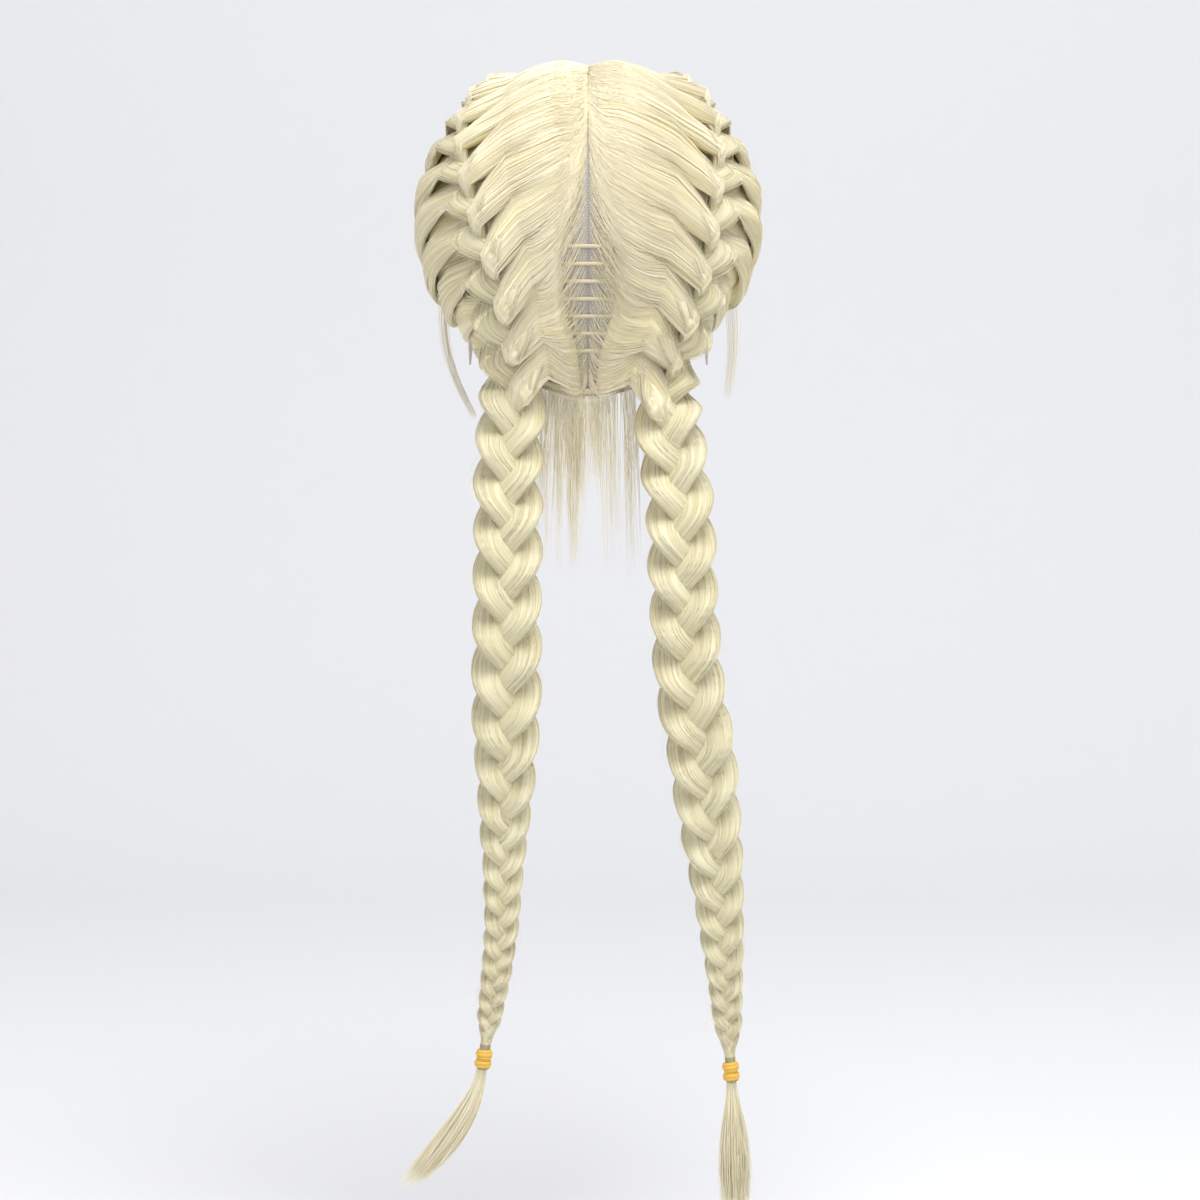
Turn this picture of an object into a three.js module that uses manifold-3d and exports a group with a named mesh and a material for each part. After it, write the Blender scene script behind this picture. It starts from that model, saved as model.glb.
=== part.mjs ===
// A pale blonde wig dressed as two plaits. A netted cap with a lace front carries the hair, which is
// combed from a centre parting into two plaits that run over the cap and hang down the back.
// Lengths are millimetres and angles are degrees. +Z is up, the back faces +Y, the left side is +X,
// and the origin is the crown, on the inside of the cap.
import * as THREE from 'three';
import { mergeVertices } from 'three/addons/utils/BufferGeometryUtils.js';
import Module from 'manifold-3d';

const wasm = await Module();
wasm.setup();

// The inside of the cap, measured from its middle, which lies one crown height under the origin.
const form = {
  halfWidth: 76,
  front: 92,
  back: 96,
  crown: 95,
  lower: 165, // reach of the rounding under the middle
  napeTuck: 28, // how far the nape draws in
  aroundSteps: 24,
  upSteps: 16,
};
const clearance = 0.35;
const cap = { wall: 1.6, depth: 205 };
const lace = { thick: 1, tabDrop: 187, flare: 15, flareFrom: 118 };
const weft = { count: 7, top: 109, pitch: 10.7, thick: 0.9, height: 2.2, halfLength: 26 };
const braid = {
  width: 41,
  turnLength: 2.12, // length of one strand's weave, in braid widths
  swing: 0.222, // sideways reach of a strand's middle
  flat: 0.1, // how much longer a strand keeps to the edge of the plait
  depth: 0.14, // outward reach of a strand's middle
  lag: 0.6, // how late a strand dives under the others, in radians of the weave
  halfWidth: 0.27,
  halfThick: 0.132,
  fullness: 0.12, // how much fuller a strand is at the edges than where strands cross
  tilt: 0.3, // how steeply the face of a crossing strand slopes
  slant: 0.7, // how much wider a slanting strand is cut
  hang: 408, // from the nape down to the foot of the tie
  nape: 212, // depth under the crown where a plait starts to hang
  lift: 15.5, // middle of the plait over the inside of the cap
  core: 0.15, // least reach of the weave from its middle
  gather: 1.2, // length over which it draws in to the tie
  seated: 0.6, // share of the route that runs over the cap, with some to spare
  flatness: 1.5, // how much wider than thick a plait is
  lean: 0.22, // how far a ring of the model leans with the strands, in turns of the weave
  ringsPerTurn: 9,
  sides: 10,
};
const tie = {
  height: 13.2,
  neck: 3.6,
  bulge: 5.4,
  lowerBulge: 4.8,
  foot: 4.4 + clearance,
  waist: 4 + clearance,
  sides: 12,
};
const tail = {
  length: 86,
  halfWidth: 13,
  lockHalf: 4.4,
  lockThick: 3,
  bend: 0.35, // where it turns from the plait's own line, as a share of its length
  narrows: 0.35, // how much the locks close in again at their ends
  flatness: 0.55, // how deep it is for its width
  tip: 0.15, // size of a lock at its end
  tipStart: 0.45, // share of a lock where it begins to thin
};
const crown = {
  rootThick: 4.6,
  joinThick: 12,
  groove: 0.6, // depth of the groove between locks at the plait, as a share of their thickness
  settle: 1, // how far the flat faces under the hair are held off its seat
  underPlait: 4, // angle between a lock's end and the middle of its plait
};
const sideHair = { halfWidth: 13, halfThick: 2.6, puff: 25, underlay: 3, underPlait: 5 };
const nape = {
  tip: 0.25, // size of a lock at its end
  sewnThick: 0.4 * weft.thick, // half thickness of a lock inside the strip
  halfLength: 36,
  height: 11,
  drop: 113,
  lockHalf: 3.4,
  lockThick: 0.9,
  strip: 0.62, // how far back the strip sits, as a share of form.back
  rim: 0.6, // how far back the locks pass the edge of the cap, likewise
};

// On the cap, turn runs over the top from the back (0) to the front (180) and spread out from the
// parting. Below it, drop is a share of braid.hang, and side and back of the form's sizes.
const leftPlait = [
  { turn: 138, spread: 22, width: 0.55, lift: 0.6 },
  { turn: 122, spread: 28, width: 0.68, lift: 0.8 },
  { turn: 106, spread: 35.5, width: 0.8, lift: 0.95 },
  { turn: 88, spread: 45, width: 0.88, lift: 1 },
  { turn: 58, spread: 52.6, width: 0.92, lift: 1 },
  { turn: 25, spread: 49, width: 0.92, lift: 1 },
  { turn: -3, spread: 41, width: 0.92, lift: 1 },
  { turn: -21, spread: 33, width: 0.94, lift: 1 },
  { turn: -38, spread: 27.6, width: 0.96, lift: 1 },
  { turn: -53, spread: 23, width: 0.98, lift: 1 },
  { drop: 0, side: 0.62, back: 0.71, width: 1 },
  { drop: 0.08, side: 0.645, back: 0.79, width: 1 },
  { drop: 0.18, side: 0.65, back: 0.895, width: 1 },
  { drop: 0.3, side: 0.655, back: 0.96, width: 1 },
  { drop: 0.44, side: 0.66, back: 0.99, width: 1 },
  { drop: 0.56, side: 0.67, back: 0.98, width: 0.85 },
  { drop: 0.69, side: 0.69, back: 0.96, width: 0.6 },
  { drop: 0.79, side: 0.71, back: 0.94, width: 0.49 },
  { drop: 0.87, side: 0.765, back: 0.92, width: 0.42 },
  { drop: 0.95, side: 0.83, back: 0.91, width: 0.31 },
  { drop: 1, side: 0.868, back: 0.9, width: 0.24 },
];
const rightPlait = [
  { turn: 138, spread: 22, width: 0.55, lift: 0.6 },
  { turn: 122, spread: 28, width: 0.68, lift: 0.8 },
  { turn: 106, spread: 35.5, width: 0.8, lift: 0.95 },
  { turn: 86, spread: 46, width: 0.88, lift: 1 },
  { turn: 50, spread: 54, width: 0.92, lift: 1 },
  { turn: 15.5, spread: 52, width: 0.92, lift: 1 },
  { turn: -10, spread: 48.6, width: 0.92, lift: 1 },
  { turn: -30, spread: 41.8, width: 0.94, lift: 1 },
  { turn: -45, spread: 33.5, width: 0.96, lift: 1 },
  { turn: -56, spread: 25, width: 0.98, lift: 1 },
  { drop: 0.01, side: 0.653, back: 0.72, width: 1 },
  { drop: 0.09, side: 0.71, back: 0.8, width: 1 },
  { drop: 0.165, side: 0.75, back: 0.885, width: 1 },
  { drop: 0.315, side: 0.783, back: 0.965, width: 1 },
  { drop: 0.42, side: 0.832, back: 0.985, width: 1 },
  { drop: 0.5, side: 0.913, back: 0.985, width: 1 },
  { drop: 0.575, side: 0.96, back: 0.98, width: 0.95 },
  { drop: 0.67, side: 1.026, back: 0.965, width: 0.83 },
  { drop: 0.79, side: 1.092, back: 0.94, width: 0.64 },
  { drop: 0.9, side: 1.132, back: 0.915, width: 0.455 },
  { drop: 1.02, side: 1.175, back: 0.9, width: 0.3 },
];
// Weave phase at the hairline, as a share of a turn.
const plaits = {
  left: { side: 1, rows: leftPlait, phase: 0.1, tailEnd: { side: 0.53, back: 0.05 } },
  right: { side: -1, rows: rightPlait, phase: 0.1, tailEnd: { side: 0.03, back: 0.05 } },
};

// Each crown lock leaves the parting at root and meets its plait at join. A bend under 1 turns it
// down near the parting and lets it run level at the plait.
const crownLocks = [
  { root: 143, join: 138, bend: 1 },
  { root: 127, join: 122, bend: 1 },
  { root: 109, join: 105, bend: 1 },
  { root: 88, join: 86, bend: 1 },
  { root: 62, join: 58, bend: 1 },
  { root: 40, join: 29, bend: 0.9 },
  { root: 25, join: 5, bend: 0.8 },
  { root: 8, join: -14, bend: 0.7 },
  { root: -15, join: -31, bend: 0.6 },
  { root: -34, join: -45, bend: 0.6 },
  { root: -49, join: -55, bend: 0.7 },
  { root: -60, join: -62, bend: 0.8 },
];
// Each side lock leaves the hairline and bows out before its plait takes it in.
const sideLocks = [
  { azimuth: 152, elevation: 28, join: 130, puff: 0.4, width: 0.8 },
  { azimuth: 141, elevation: 19, join: 106, puff: 0.75, width: 1 },
  { azimuth: 131, elevation: 8, join: 82, puff: 1, width: 1 },
  { azimuth: 123, elevation: -3, join: 55, puff: 1.05, width: 1 },
  { azimuth: 115, elevation: -12, join: 26, puff: 1.08, width: 1 },
  { azimuth: 108, elevation: -21, join: 0, puff: 1.05, width: 1 },
  { azimuth: 98, elevation: -28, join: -18, puff: 0.8, width: 1.05 },
  { azimuth: 84, elevation: -32, join: -32, puff: 0.55, width: 1.1 },
  { azimuth: 68, elevation: -40, join: -45, puff: 0.3, width: 1 },
];
// Outlines seen from the side. Ahead is a share of form.front, or under 0 of form.back, and drop
// is a share of cap.depth.
const hairline = [
  { ahead: 1.3, drop: 0.17 },
  { ahead: 0.85, drop: 0.215 },
  { ahead: 0.7, drop: 0.4 },
  { ahead: 0.52, drop: 0.58 },
  { ahead: 0.34, drop: 0.78 },
];
const laceSeam = [
  { ahead: 0.85, drop: -0.12 },
  { ahead: 0.655, drop: 0.112 },
  { ahead: 0.5, drop: 0.33 },
  { ahead: 0.3, drop: 0.49 },
  { ahead: 0.06, drop: 0.56 },
];
const tabBack = [
  { ahead: 0.17, drop: 0.8 },
  { ahead: 0.1, drop: 0.68 },
];
const earEdge = [
  { ahead: -0.1, drop: 0.54 },
  { ahead: -0.26, drop: 0.59 },
  { ahead: -0.33, drop: 0.73 },
  { ahead: -0.4, drop: 0.88 },
  { ahead: -0.56, drop: 0.97 },
];
const tabTip = { ahead: 0.24 };
// Half width of the parting, seen from the back, at depths that are shares of cap.depth.
const parting = [
  { drop: -0.2, gap: 0.02 },
  { drop: 0.25, gap: 0.035 },
  { drop: 0.45, gap: 0.09 },
  { drop: 0.62, gap: 0.15 },
  { drop: 0.75, gap: 0.13 },
  { drop: 0.88, gap: 0.05 },
  { drop: 1.1, gap: 0.04 },
];
const tailLocks = [
  { across: 0, out: 0, reach: 1 },
  { across: 0.95, out: 0.1, reach: 0.86 },
  { across: -0.95, out: -0.1, reach: 0.9 },
  { across: 0.45, out: 0.5, reach: 0.97 },
  { across: -0.45, out: 0.45, reach: 0.8 },
  { across: 0.3, out: -0.5, reach: 0.92 },
];
// Nape locks by their place across, their lean and their length, as shares of nape's sizes.
const napeLocks = [
  { across: 0.76, lean: 0.02, reach: 0.5 },
  { across: 0.55, lean: 0.05, reach: 0.62 },
  { across: 0.36, lean: -0.02, reach: 0.56 },
  { across: 0.14, lean: 0.03, reach: 0.9 },
  { across: -0.06, lean: -0.03, reach: 0.66 },
  { across: -0.26, lean: 0.02, reach: 1 },
  { across: -0.46, lean: -0.05, reach: 0.62 },
  { across: -0.68, lean: -0.12, reach: 0.82 },
  { across: -0.88, lean: -0.05, reach: 0.52 },
];

const middle = new THREE.Vector3(0, 0, -form.crown);
const hairSeat = cap.wall + weft.thick + 2 * clearance;
const plaitSeat = cap.wall + clearance;
const reach = 3 * form.lower; // past the piece on every side, for cutting solids

const radians = THREE.MathUtils.degToRad;
const { lerp, smoothstep } = THREE.MathUtils;

function bare(geometry) {
  geometry.deleteAttribute('normal');
  geometry.deleteAttribute('uv');
  return mergeVertices(geometry);
}

function solidOf(geometry) {
  return new wasm.Manifold(new wasm.Mesh({
    numProp: 3,
    vertProperties: new Float32Array(geometry.getAttribute('position').array),
    triVerts: new Uint32Array(geometry.getIndex().array),
  }));
}

function geometryOf(solid) {
  const mesh = solid.getMesh();
  const geometry = new THREE.BufferGeometry();
  geometry.setAttribute('position', new THREE.BufferAttribute(mesh.vertProperties, 3));
  geometry.setIndex(new THREE.BufferAttribute(mesh.triVerts, 1));
  geometry.computeVertexNormals();
  return geometry;
}

function union(solids) {
  return solids.reduce((whole, solid) => whole.add(solid));
}

function largest(solid) {
  const pieces = solid.decompose();
  return pieces.reduce((best, piece) => (piece.volume() > best.volume() ? piece : best));
}

function overTop(turn, spread) {
  const [t, s] = [radians(turn), radians(spread)];
  return new THREE.Vector3(Math.sin(s), Math.cos(t) * Math.cos(s), Math.sin(t) * Math.cos(s));
}

function around(azimuth, elevation) {
  const [a, e] = [radians(azimuth), radians(elevation)];
  return new THREE.Vector3(Math.sin(a) * Math.cos(e), Math.cos(a) * Math.cos(e), Math.sin(e));
}

// Distance from the middle to the inside of the cap.
function formRadius(direction) {
  const tuck = direction.z < 0 ? form.napeTuck * direction.z ** 2 : 0;
  const depth = direction.y < 0 ? form.front : form.back - tuck;
  const height = direction.z < 0 ? form.lower : form.crown;
  return 1 / Math.hypot(direction.x / form.halfWidth, direction.y / depth, direction.z / height);
}

function onForm(direction, lift) {
  return middle.clone().addScaledVector(direction, formRadius(direction) + lift);
}

function directionOf(point) {
  return point.clone().sub(middle).normalize();
}

function moveVertices(geometry, place) {
  const position = geometry.getAttribute('position');
  const vertex = new THREE.Vector3();
  for (let i = 0; i < position.count; i += 1) {
    const placed = place(vertex.fromBufferAttribute(position, i));
    position.setXYZ(i, placed.x, placed.y, placed.z);
  }
  return geometry;
}

// A closed tube whose vertices are placed by their share along, and from -1 to 1 across and out.
function tubeSolid(sides, steps, place) {
  const blank = bare(new THREE.CylinderGeometry(1, 1, 1, sides, steps));
  return solidOf(moveVertices(blank, (v) => place(0.5 - v.y, v.x, v.z)));
}

function formSolid(lift) {
  const ball = bare(new THREE.SphereGeometry(1, form.aroundSteps, form.upSteps));
  return solidOf(moveVertices(ball, (v) => onForm(new THREE.Vector3(v.x, -v.z, v.y).normalize(), lift)));
}

function shell(inner, outer) {
  return formSolid(outer).subtract(formSolid(inner));
}

function sidePoint({ ahead, drop }) {
  return new THREE.Vector2(-ahead * (ahead > 0 ? form.front : form.back), -drop * cap.depth);
}

function smooth(points, steps) {
  return new THREE.SplineCurve(points).getPoints(steps);
}

// A prism that runs right across the wig, from an outline seen from the side.
function sidePrism(outline) {
  const settings = { depth: 2 * reach, bevelEnabled: false };
  const blank = bare(new THREE.ExtrudeGeometry(new THREE.Shape(outline), settings));
  return solidOf(moveVertices(blank, (v) => new THREE.Vector3(v.z - reach, v.x, v.y)));
}

// The cap, or with grow the room that it takes.
function capSolid(grow) {
  const outline = [
    ...smooth(laceSeam.map(sidePoint), 12),
    ...smooth(earEdge.map(sidePoint), 10),
    new THREE.Vector2(form.back * nape.strip, -cap.depth - grow),
    new THREE.Vector2(reach, -cap.depth - grow),
    new THREE.Vector2(reach, reach),
    new THREE.Vector2(sidePoint(laceSeam[0]).x, reach),
  ];
  return shell(-grow, cap.wall + grow).intersect(sidePrism(outline));
}

// The lace strip between the seam and the hairline, with a pointed tab ahead of each ear.
function laceSolid(inner, outer, grow) {
  const seam = laceSeam.map(sidePoint);
  seam.forEach((point) => { point.x += grow - clearance; });
  const outline = [
    new THREE.Vector2(seam[0].x, reach),
    new THREE.Vector2(-reach, reach),
    new THREE.Vector2(-reach, sidePoint(hairline[0]).y),
    ...smooth(hairline.map(sidePoint), 10).map((point) => new THREE.Vector2(point.x - grow, point.y)),
    new THREE.Vector2(-tabTip.ahead * form.front, -lace.tabDrop - grow),
    ...tabBack.map(sidePoint).map((point) => new THREE.Vector2(point.x + grow, point.y)),
    ...smooth(seam, 12).reverse(),
  ];
  const strip = shell(inner, outer).intersect(sidePrism(outline));
  const flared = moveVertices(bareGeometryOf(strip), (v) => {
    const fall = Math.max(0, (-v.z - lace.flareFrom) / (lace.tabDrop - lace.flareFrom));
    return new THREE.Vector3(v.x + Math.sign(v.x) * lace.flare * fall ** 1.5, v.y, v.z);
  });
  return solidOf(flared);
}

function bareGeometryOf(solid) {
  const geometry = geometryOf(solid);
  geometry.deleteAttribute('normal');
  return geometry;
}

function band(top, height, halfLength) {
  const block = bare(new THREE.BoxGeometry(2 * halfLength, reach, height));
  return solidOf(moveVertices(block, (v) => new THREE.Vector3(v.x, v.y + reach / 2, v.z - top - height / 2)));
}

function weftSolid(depth, height, halfLength, grow = 0) {
  return shell(plaitSeat - grow, plaitSeat + weft.thick + grow)
    .intersect(band(depth - grow, height + 2 * grow, halfLength + grow));
}

// The middle line of a plait, with the outward direction and the width at each share of it.
function plaitRoute({ side, rows }) {
  const points = [];
  const guides = [];
  const sizes = [];
  rows.forEach((row) => {
    const hangs = row.turn === undefined;
    const direction = hangs ? new THREE.Vector3(0, 1, 0) : overTop(row.turn, row.spread);
    const height = -braid.nape - row.drop * braid.hang;
    const point = hangs
      ? new THREE.Vector3(row.side * form.halfWidth, row.back * form.back, height)
      : onForm(direction, braid.lift * row.lift);
    points.push(new THREE.Vector3(side * point.x, point.y, point.z));
    guides.push(new THREE.Vector3(side * direction.x, direction.y, direction.z).add(points.at(-1)));
    sizes.push(new THREE.Vector3(row.width * braid.width, 0, 0));
  });
  const [centre, guide, size] = [points, guides, sizes].map((list) => (
    new THREE.CatmullRomCurve3(list, false, 'catmullrom', 0.5)));
  return {
    length: centre.getLength(),
    at(share) {
      const t = centre.getUtoTmapping(share);
      const point = centre.getPoint(t);
      const along = centre.getTangent(t);
      const out = guide.getPoint(t).sub(point);
      out.addScaledVector(along, -out.dot(along)).normalize();
      return { point, along, out, across: out.clone().cross(along), width: size.getPoint(t).x };
    },
  };
}

// How many turns the weave makes above the tie, and the share of the route at a phase of it.
function weaveOf(route) {
  const samples = 400;
  const end = 1 - (tie.height + tie.neck) / route.length;
  const phases = [0];
  for (let i = 1; i <= samples; i += 1) {
    const { width } = route.at(((i - 0.5) / samples) * end);
    phases.push(phases[i - 1] + (end * route.length) / samples / (braid.turnLength * width));
  }
  const turns = phases[samples];
  return {
    end,
    turns,
    shareAt(phase) {
      const i = Math.max(1, phases.findIndex((value) => value >= Math.min(phase, turns)));
      const part = (Math.max(0, phase) - phases[i - 1]) / (phases[i] - phases[i - 1]);
      return Math.min(end, ((i - 1 + part) / samples) * end);
    },
  };
}

// The three strands where a plane across the plait cuts them, in shares of its width. Shear is
// how far out the section leans for each step across.
function strandSections(phase) {
  const swing = braid.swing / (1 - braid.flat);
  return [0, 1, 2].map((k) => {
    const angle = 2 * Math.PI * (phase + k / 3);
    const pace = Math.cos(angle) + 3 * braid.flat * Math.cos(3 * angle);
    const slope = (2 * Math.PI * swing * pace) / braid.turnLength;
    const full = 1 - braid.fullness * Math.cos(2 * angle);
    return {
      across: swing * (Math.sin(angle) + braid.flat * Math.sin(3 * angle)),
      out: -braid.depth * Math.sin(2 * angle - braid.lag),
      halfWidth: braid.halfWidth * full * Math.hypot(1, braid.slant * slope),
      halfThick: braid.halfThick * full,
      shear: -braid.tilt * Math.cos(angle),
    };
  });
}

// How far out the strands reach from the plait's middle in one direction across it.
function outlineRadius(sections, x, y) {
  return Math.max(braid.core, ...sections.map(({ across, out, halfWidth, halfThick, shear }) => {
    const [rise, offset] = [y - shear * x, out - shear * across];
    const a = (x / halfWidth) ** 2 + (rise / halfThick) ** 2;
    const b = (x * across) / halfWidth ** 2 + (rise * offset) / halfThick ** 2;
    const c = (across / halfWidth) ** 2 + (offset / halfThick) ** 2 - 1;
    const inside = b * b - a * c;
    return inside > 0 ? (b + Math.sqrt(inside)) / a : 0;
  }));
}

// A plait is one woven bundle, whose strands gather into a round neck inside the tie. Its rings
// lean down to the front as the strands do, so that a ring follows one lobe.
function plaitSolid(plait, grow) {
  const route = plaitRoute(plait);
  const weave = weaveOf(route);
  const rings = Math.round(weave.turns * braid.ringsPerTurn);
  const neckRings = 2;
  const steps = rings + neckRings;
  return tubeSolid(braid.sides, steps, (share, across, out) => {
    const ring = Math.round(share * steps);
    const level = (Math.min(ring, rings) / rings) * weave.turns;
    const ease = Math.min(1, 2 * level, 2 * (weave.turns - level));
    const phase = THREE.MathUtils.clamp(level + braid.lean * ease * out, 0, weave.turns);
    const place = ring > rings ? lerp(weave.end, 1, (ring - rings) / neckRings) : weave.shareAt(phase);
    const frame = route.at(place);
    const wide = across * braid.flatness;
    const stretch = Math.hypot(wide, out);
    if (stretch === 0) return frame.point;
    const sections = strandSections(phase + plait.phase);
    const woven = outlineRadius(sections, (plait.side * wide) / stretch, out / stretch) * frame.width;
    const open = smoothstep((weave.end - place) * route.length, 0, braid.gather * frame.width);
    const radius = lerp(tie.neck, woven, open) + grow;
    return frame.point
      .addScaledVector(frame.across, (radius * wide) / stretch)
      .addScaledVector(frame.out, (radius * out) / stretch);
  }).subtract(formSolid(plaitSeat));
}

// The room that a plait takes in the hair of the cap: an even tube round all its strands, and
// the plait itself where a bend carries it past the tube.
function plaitRoom(plait) {
  const route = plaitRoute(plait);
  const sides = 10;
  const overFacet = 1 / Math.cos(Math.PI / sides);
  const tube = tubeSolid(sides, 30, (share, across, out) => {
    const frame = route.at(braid.seated * share);
    const halfWidth = (braid.swing + braid.halfWidth) * frame.width * overFacet + 2 * clearance;
    const halfThick = (braid.depth + braid.halfThick) * frame.width * overFacet + 2 * clearance;
    return frame.point.addScaledVector(frame.across, across * halfWidth)
      .addScaledVector(frame.out, out * halfThick)
      .addScaledVector(frame.along, share === 0 ? -clearance : 0);
  });
  return tube.add(plaitSolid(plait, 2 * clearance));
}

// The room that the foot of a plait and its tie take over the tail.
function footRoom(route) {
  return tubeSolid(8, 3, (share, across, out) => {
    const frame = route.at(lerp(1 - tie.height / route.length, 1, share));
    return frame.point.addScaledVector(frame.across, 2 * across * tie.bulge)
      .addScaledVector(frame.out, 2 * out * tie.bulge)
      .addScaledVector(frame.along, share === 1 ? clearance : 0);
  });
}

// The spread of a plait's middle at a turn over the cap.
function spreadAt(rows, turn) {
  const seated = rows.filter((row) => row.turn !== undefined);
  const next = Math.max(1, seated.findIndex((row) => row.turn < turn));
  const i = turn < seated.at(-1).turn ? seated.length - 1 : next;
  const [from, to] = [seated[i - 1], seated[i]];
  return lerp(from.spread, to.spread, (turn - from.turn) / (to.turn - from.turn));
}

// A lock that follows the cap. Heading gives its direction from the middle at each share.
function seatedLock(side, steps, heading, section) {
  const mirrored = (share) => {
    const direction = heading(share);
    return new THREE.Vector3(side * direction.x, direction.y, direction.z).normalize();
  };
  const nudge = 0.01;
  return tubeSolid(4, steps, (share, across, out) => {
    const direction = mirrored(share);
    const along = onForm(mirrored(share + nudge), 0).sub(onForm(mirrored(share - nudge), 0)).normalize();
    const acrossWay = direction.clone().cross(along).normalize();
    const { halfWidth, lift } = section(share, out);
    const point = onForm(direction, 0).addScaledVector(acrossWay, across * halfWidth);
    return onForm(directionOf(point), lift);
  });
}

// A row between two entries of a table, every column mixed by the same share.
function between(rows, place) {
  const i = THREE.MathUtils.clamp(Math.floor(place), 0, rows.length - 2);
  const mix = Object.keys(rows[i]).map((key) => [key, lerp(rows[i][key], rows[i + 1][key], place - i)]);
  return Object.fromEntries(mix);
}

// The angle from the middle of the parting to its edge, at a turn over the cap.
function partingSpread(turn) {
  const seat = onForm(overTop(turn, 0), 0);
  const drop = -seat.z / cap.depth;
  const next = Math.max(1, parting.findIndex((row) => row.drop >= drop));
  const [from, to] = [parting[next - 1], parting[next]];
  const gap = lerp(from.gap, to.gap, (drop - from.drop) / (to.drop - from.drop));
  return THREE.MathUtils.radToDeg(Math.asin((gap * form.halfWidth) / seat.distanceTo(middle)));
}

// A closed sheet laid over the cap on one side. Its place is given by the row in a table of
// locks, the share along a lock and whether it is the top or the seat. Rows run back from a
// crown lock and down from a side lock, so rowWay turns them over.
function laidSheet(side, rowWay, rowCount, [rowSteps, steps], place) {
  const blank = bare(new THREE.BoxGeometry(1, 1, 1, rowSteps, steps, 1));
  return solidOf(moveVertices(blank, (v) => {
    const row = (0.5 + rowWay * side * v.x) * rowCount - 0.5;
    const { direction, lift } = place(row, 0.5 - v.y, v.z > 0);
    direction.x *= side;
    return onForm(direction.normalize(), lift);
  }));
}

// The hair from the parting to a plait, a ridge for each lock and a groove between them.
function crownHairSolid(plait, napeRoom) {
  const steps = [2 * crownLocks.length, 7];
  const sheet = laidSheet(plait.side, 1, crownLocks.length, steps, (row, share, top) => {
    const { root, join, bend } = between(crownLocks, row);
    const turn = lerp(root, join, share ** bend);
    const spread = lerp(partingSpread(root), spreadAt(plait.rows, join) - crown.underPlait, share);
    const ridge = lerp(1 - crown.groove, 1, Math.cos(Math.PI * row) ** 2);
    const thick = lerp(crown.rootThick, crown.joinThick, share ** 2) * lerp(1, ridge, share ** 0.6);
    return { direction: overTop(turn, spread), lift: hairSeat + crown.settle + (top ? thick : 0) };
  });
  return largest(sheet.subtract(plaitRoom(plait)).subtract(napeRoom));
}

// Side locks rise from a thin layer of hair over the cap and bow out before the plait.
function sideHairSolid(plait, laceRoom) {
  const roots = sideLocks.map(({ azimuth, elevation }) => around(azimuth, elevation));
  const ends = sideLocks.map(({ join }) => (
    overTop(join, spreadAt(plait.rows, join) + sideHair.underPlait)));
  const seat = plaitSeat + crown.settle;
  const [rootPath, endPath] = [roots, ends].map((list) => new THREE.CatmullRomCurve3(list));
  const underlay = laidSheet(plait.side, -1, sideLocks.length, [sideLocks.length, 5], (row, share, top) => {
    const place = THREE.MathUtils.clamp((row + 0.5) / sideLocks.length, 0, 1);
    const direction = rootPath.getPoint(place).lerp(endPath.getPoint(place), share);
    return { direction, lift: seat + (top ? sideHair.underlay : 0) };
  });
  const locks = sideLocks.map(({ puff, width }, i) => {
    const heading = (share) => roots[i].clone().lerp(ends[i], share);
    return seatedLock(plait.side, 6, heading, (share, out) => {
      const bow = Math.sin(Math.PI * THREE.MathUtils.clamp(share, 0, 1)) ** 0.8;
      return {
        halfWidth: sideHair.halfWidth * width * lerp(1, 0.8, share),
        lift: seat + sideHair.puff * puff * bow + sideHair.halfThick * (out + 1),
      };
    });
  });
  const trimmed = union([underlay, ...locks]).subtract(plaitRoom(plait)).subtract(laceRoom);
  return largest(trimmed);
}

// The hair that hangs under the cap's nape, or with grow the room that it takes.
function napeHairSolid(grow) {
  const depth = cap.depth - nape.height;
  const seated = plaitSeat + weft.thick / 2;
  const locks = napeLocks.map(({ across, lean, reach: length }) => {
    const x = across * nape.halfLength;
    const root = new THREE.Vector3(x, form.back * nape.strip, -depth - nape.height / 2);
    const start = onForm(directionOf(root), seated);
    const rim = onForm(directionOf(new THREE.Vector3(x, form.back * nape.rim, -cap.depth - 2)), seated);
    const tip = new THREE.Vector3(x + lean * nape.halfLength, rim.y, -cap.depth - nape.drop * length);
    const path = new THREE.CatmullRomCurve3([start, rim, rim.clone().lerp(tip, 0.5), tip]);
    return tubeSolid(4, 4, (share, acrossShare, out) => {
      const taper = lerp(1, nape.tip, share ** 2);
      const point = path.getPoint(share);
      const thick = lerp(nape.sewnThick, nape.lockThick, smoothstep(share, 0.3, 0.5)) * taper;
      const half = nape.lockHalf * taper;
      return point.add(new THREE.Vector3(-acrossShare * (half + grow), out * (thick + 2 * grow), 0));
    });
  });
  const whole = union([weftSolid(depth, nape.height, nape.halfLength, grow), ...locks]);
  return grow > 0 ? whole : largest(whole.subtract(capSolid(clearance)));
}

function tieMesh(plait, name) {
  const frame = plaitRoute(plait).at(1 - tie.height / 2 / plaitRoute(plait).length);
  const half = tie.height / 2;
  const inner = tie.neck + clearance;
  const profile = [ // radius, and height as a share of half the tie's height
    [inner, -1], [tie.foot, -1], [tie.lowerBulge, -0.7], [tie.lowerBulge, -0.35],
    [tie.waist, -0.1], [tie.bulge, 0.15], [tie.bulge, 0.7], [tie.foot, 1],
    [inner, 1], [inner, -1],
  ].map(([radius, level]) => new THREE.Vector2(radius, level * half));
  const mesh = new THREE.Mesh(bare(new THREE.LatheGeometry(profile, tie.sides)), finishes.elastic);
  mesh.position.copy(frame.point);
  mesh.quaternion.setFromUnitVectors(new THREE.Vector3(0, -1, 0), frame.along);
  mesh.name = name;
  return mesh;
}

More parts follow.
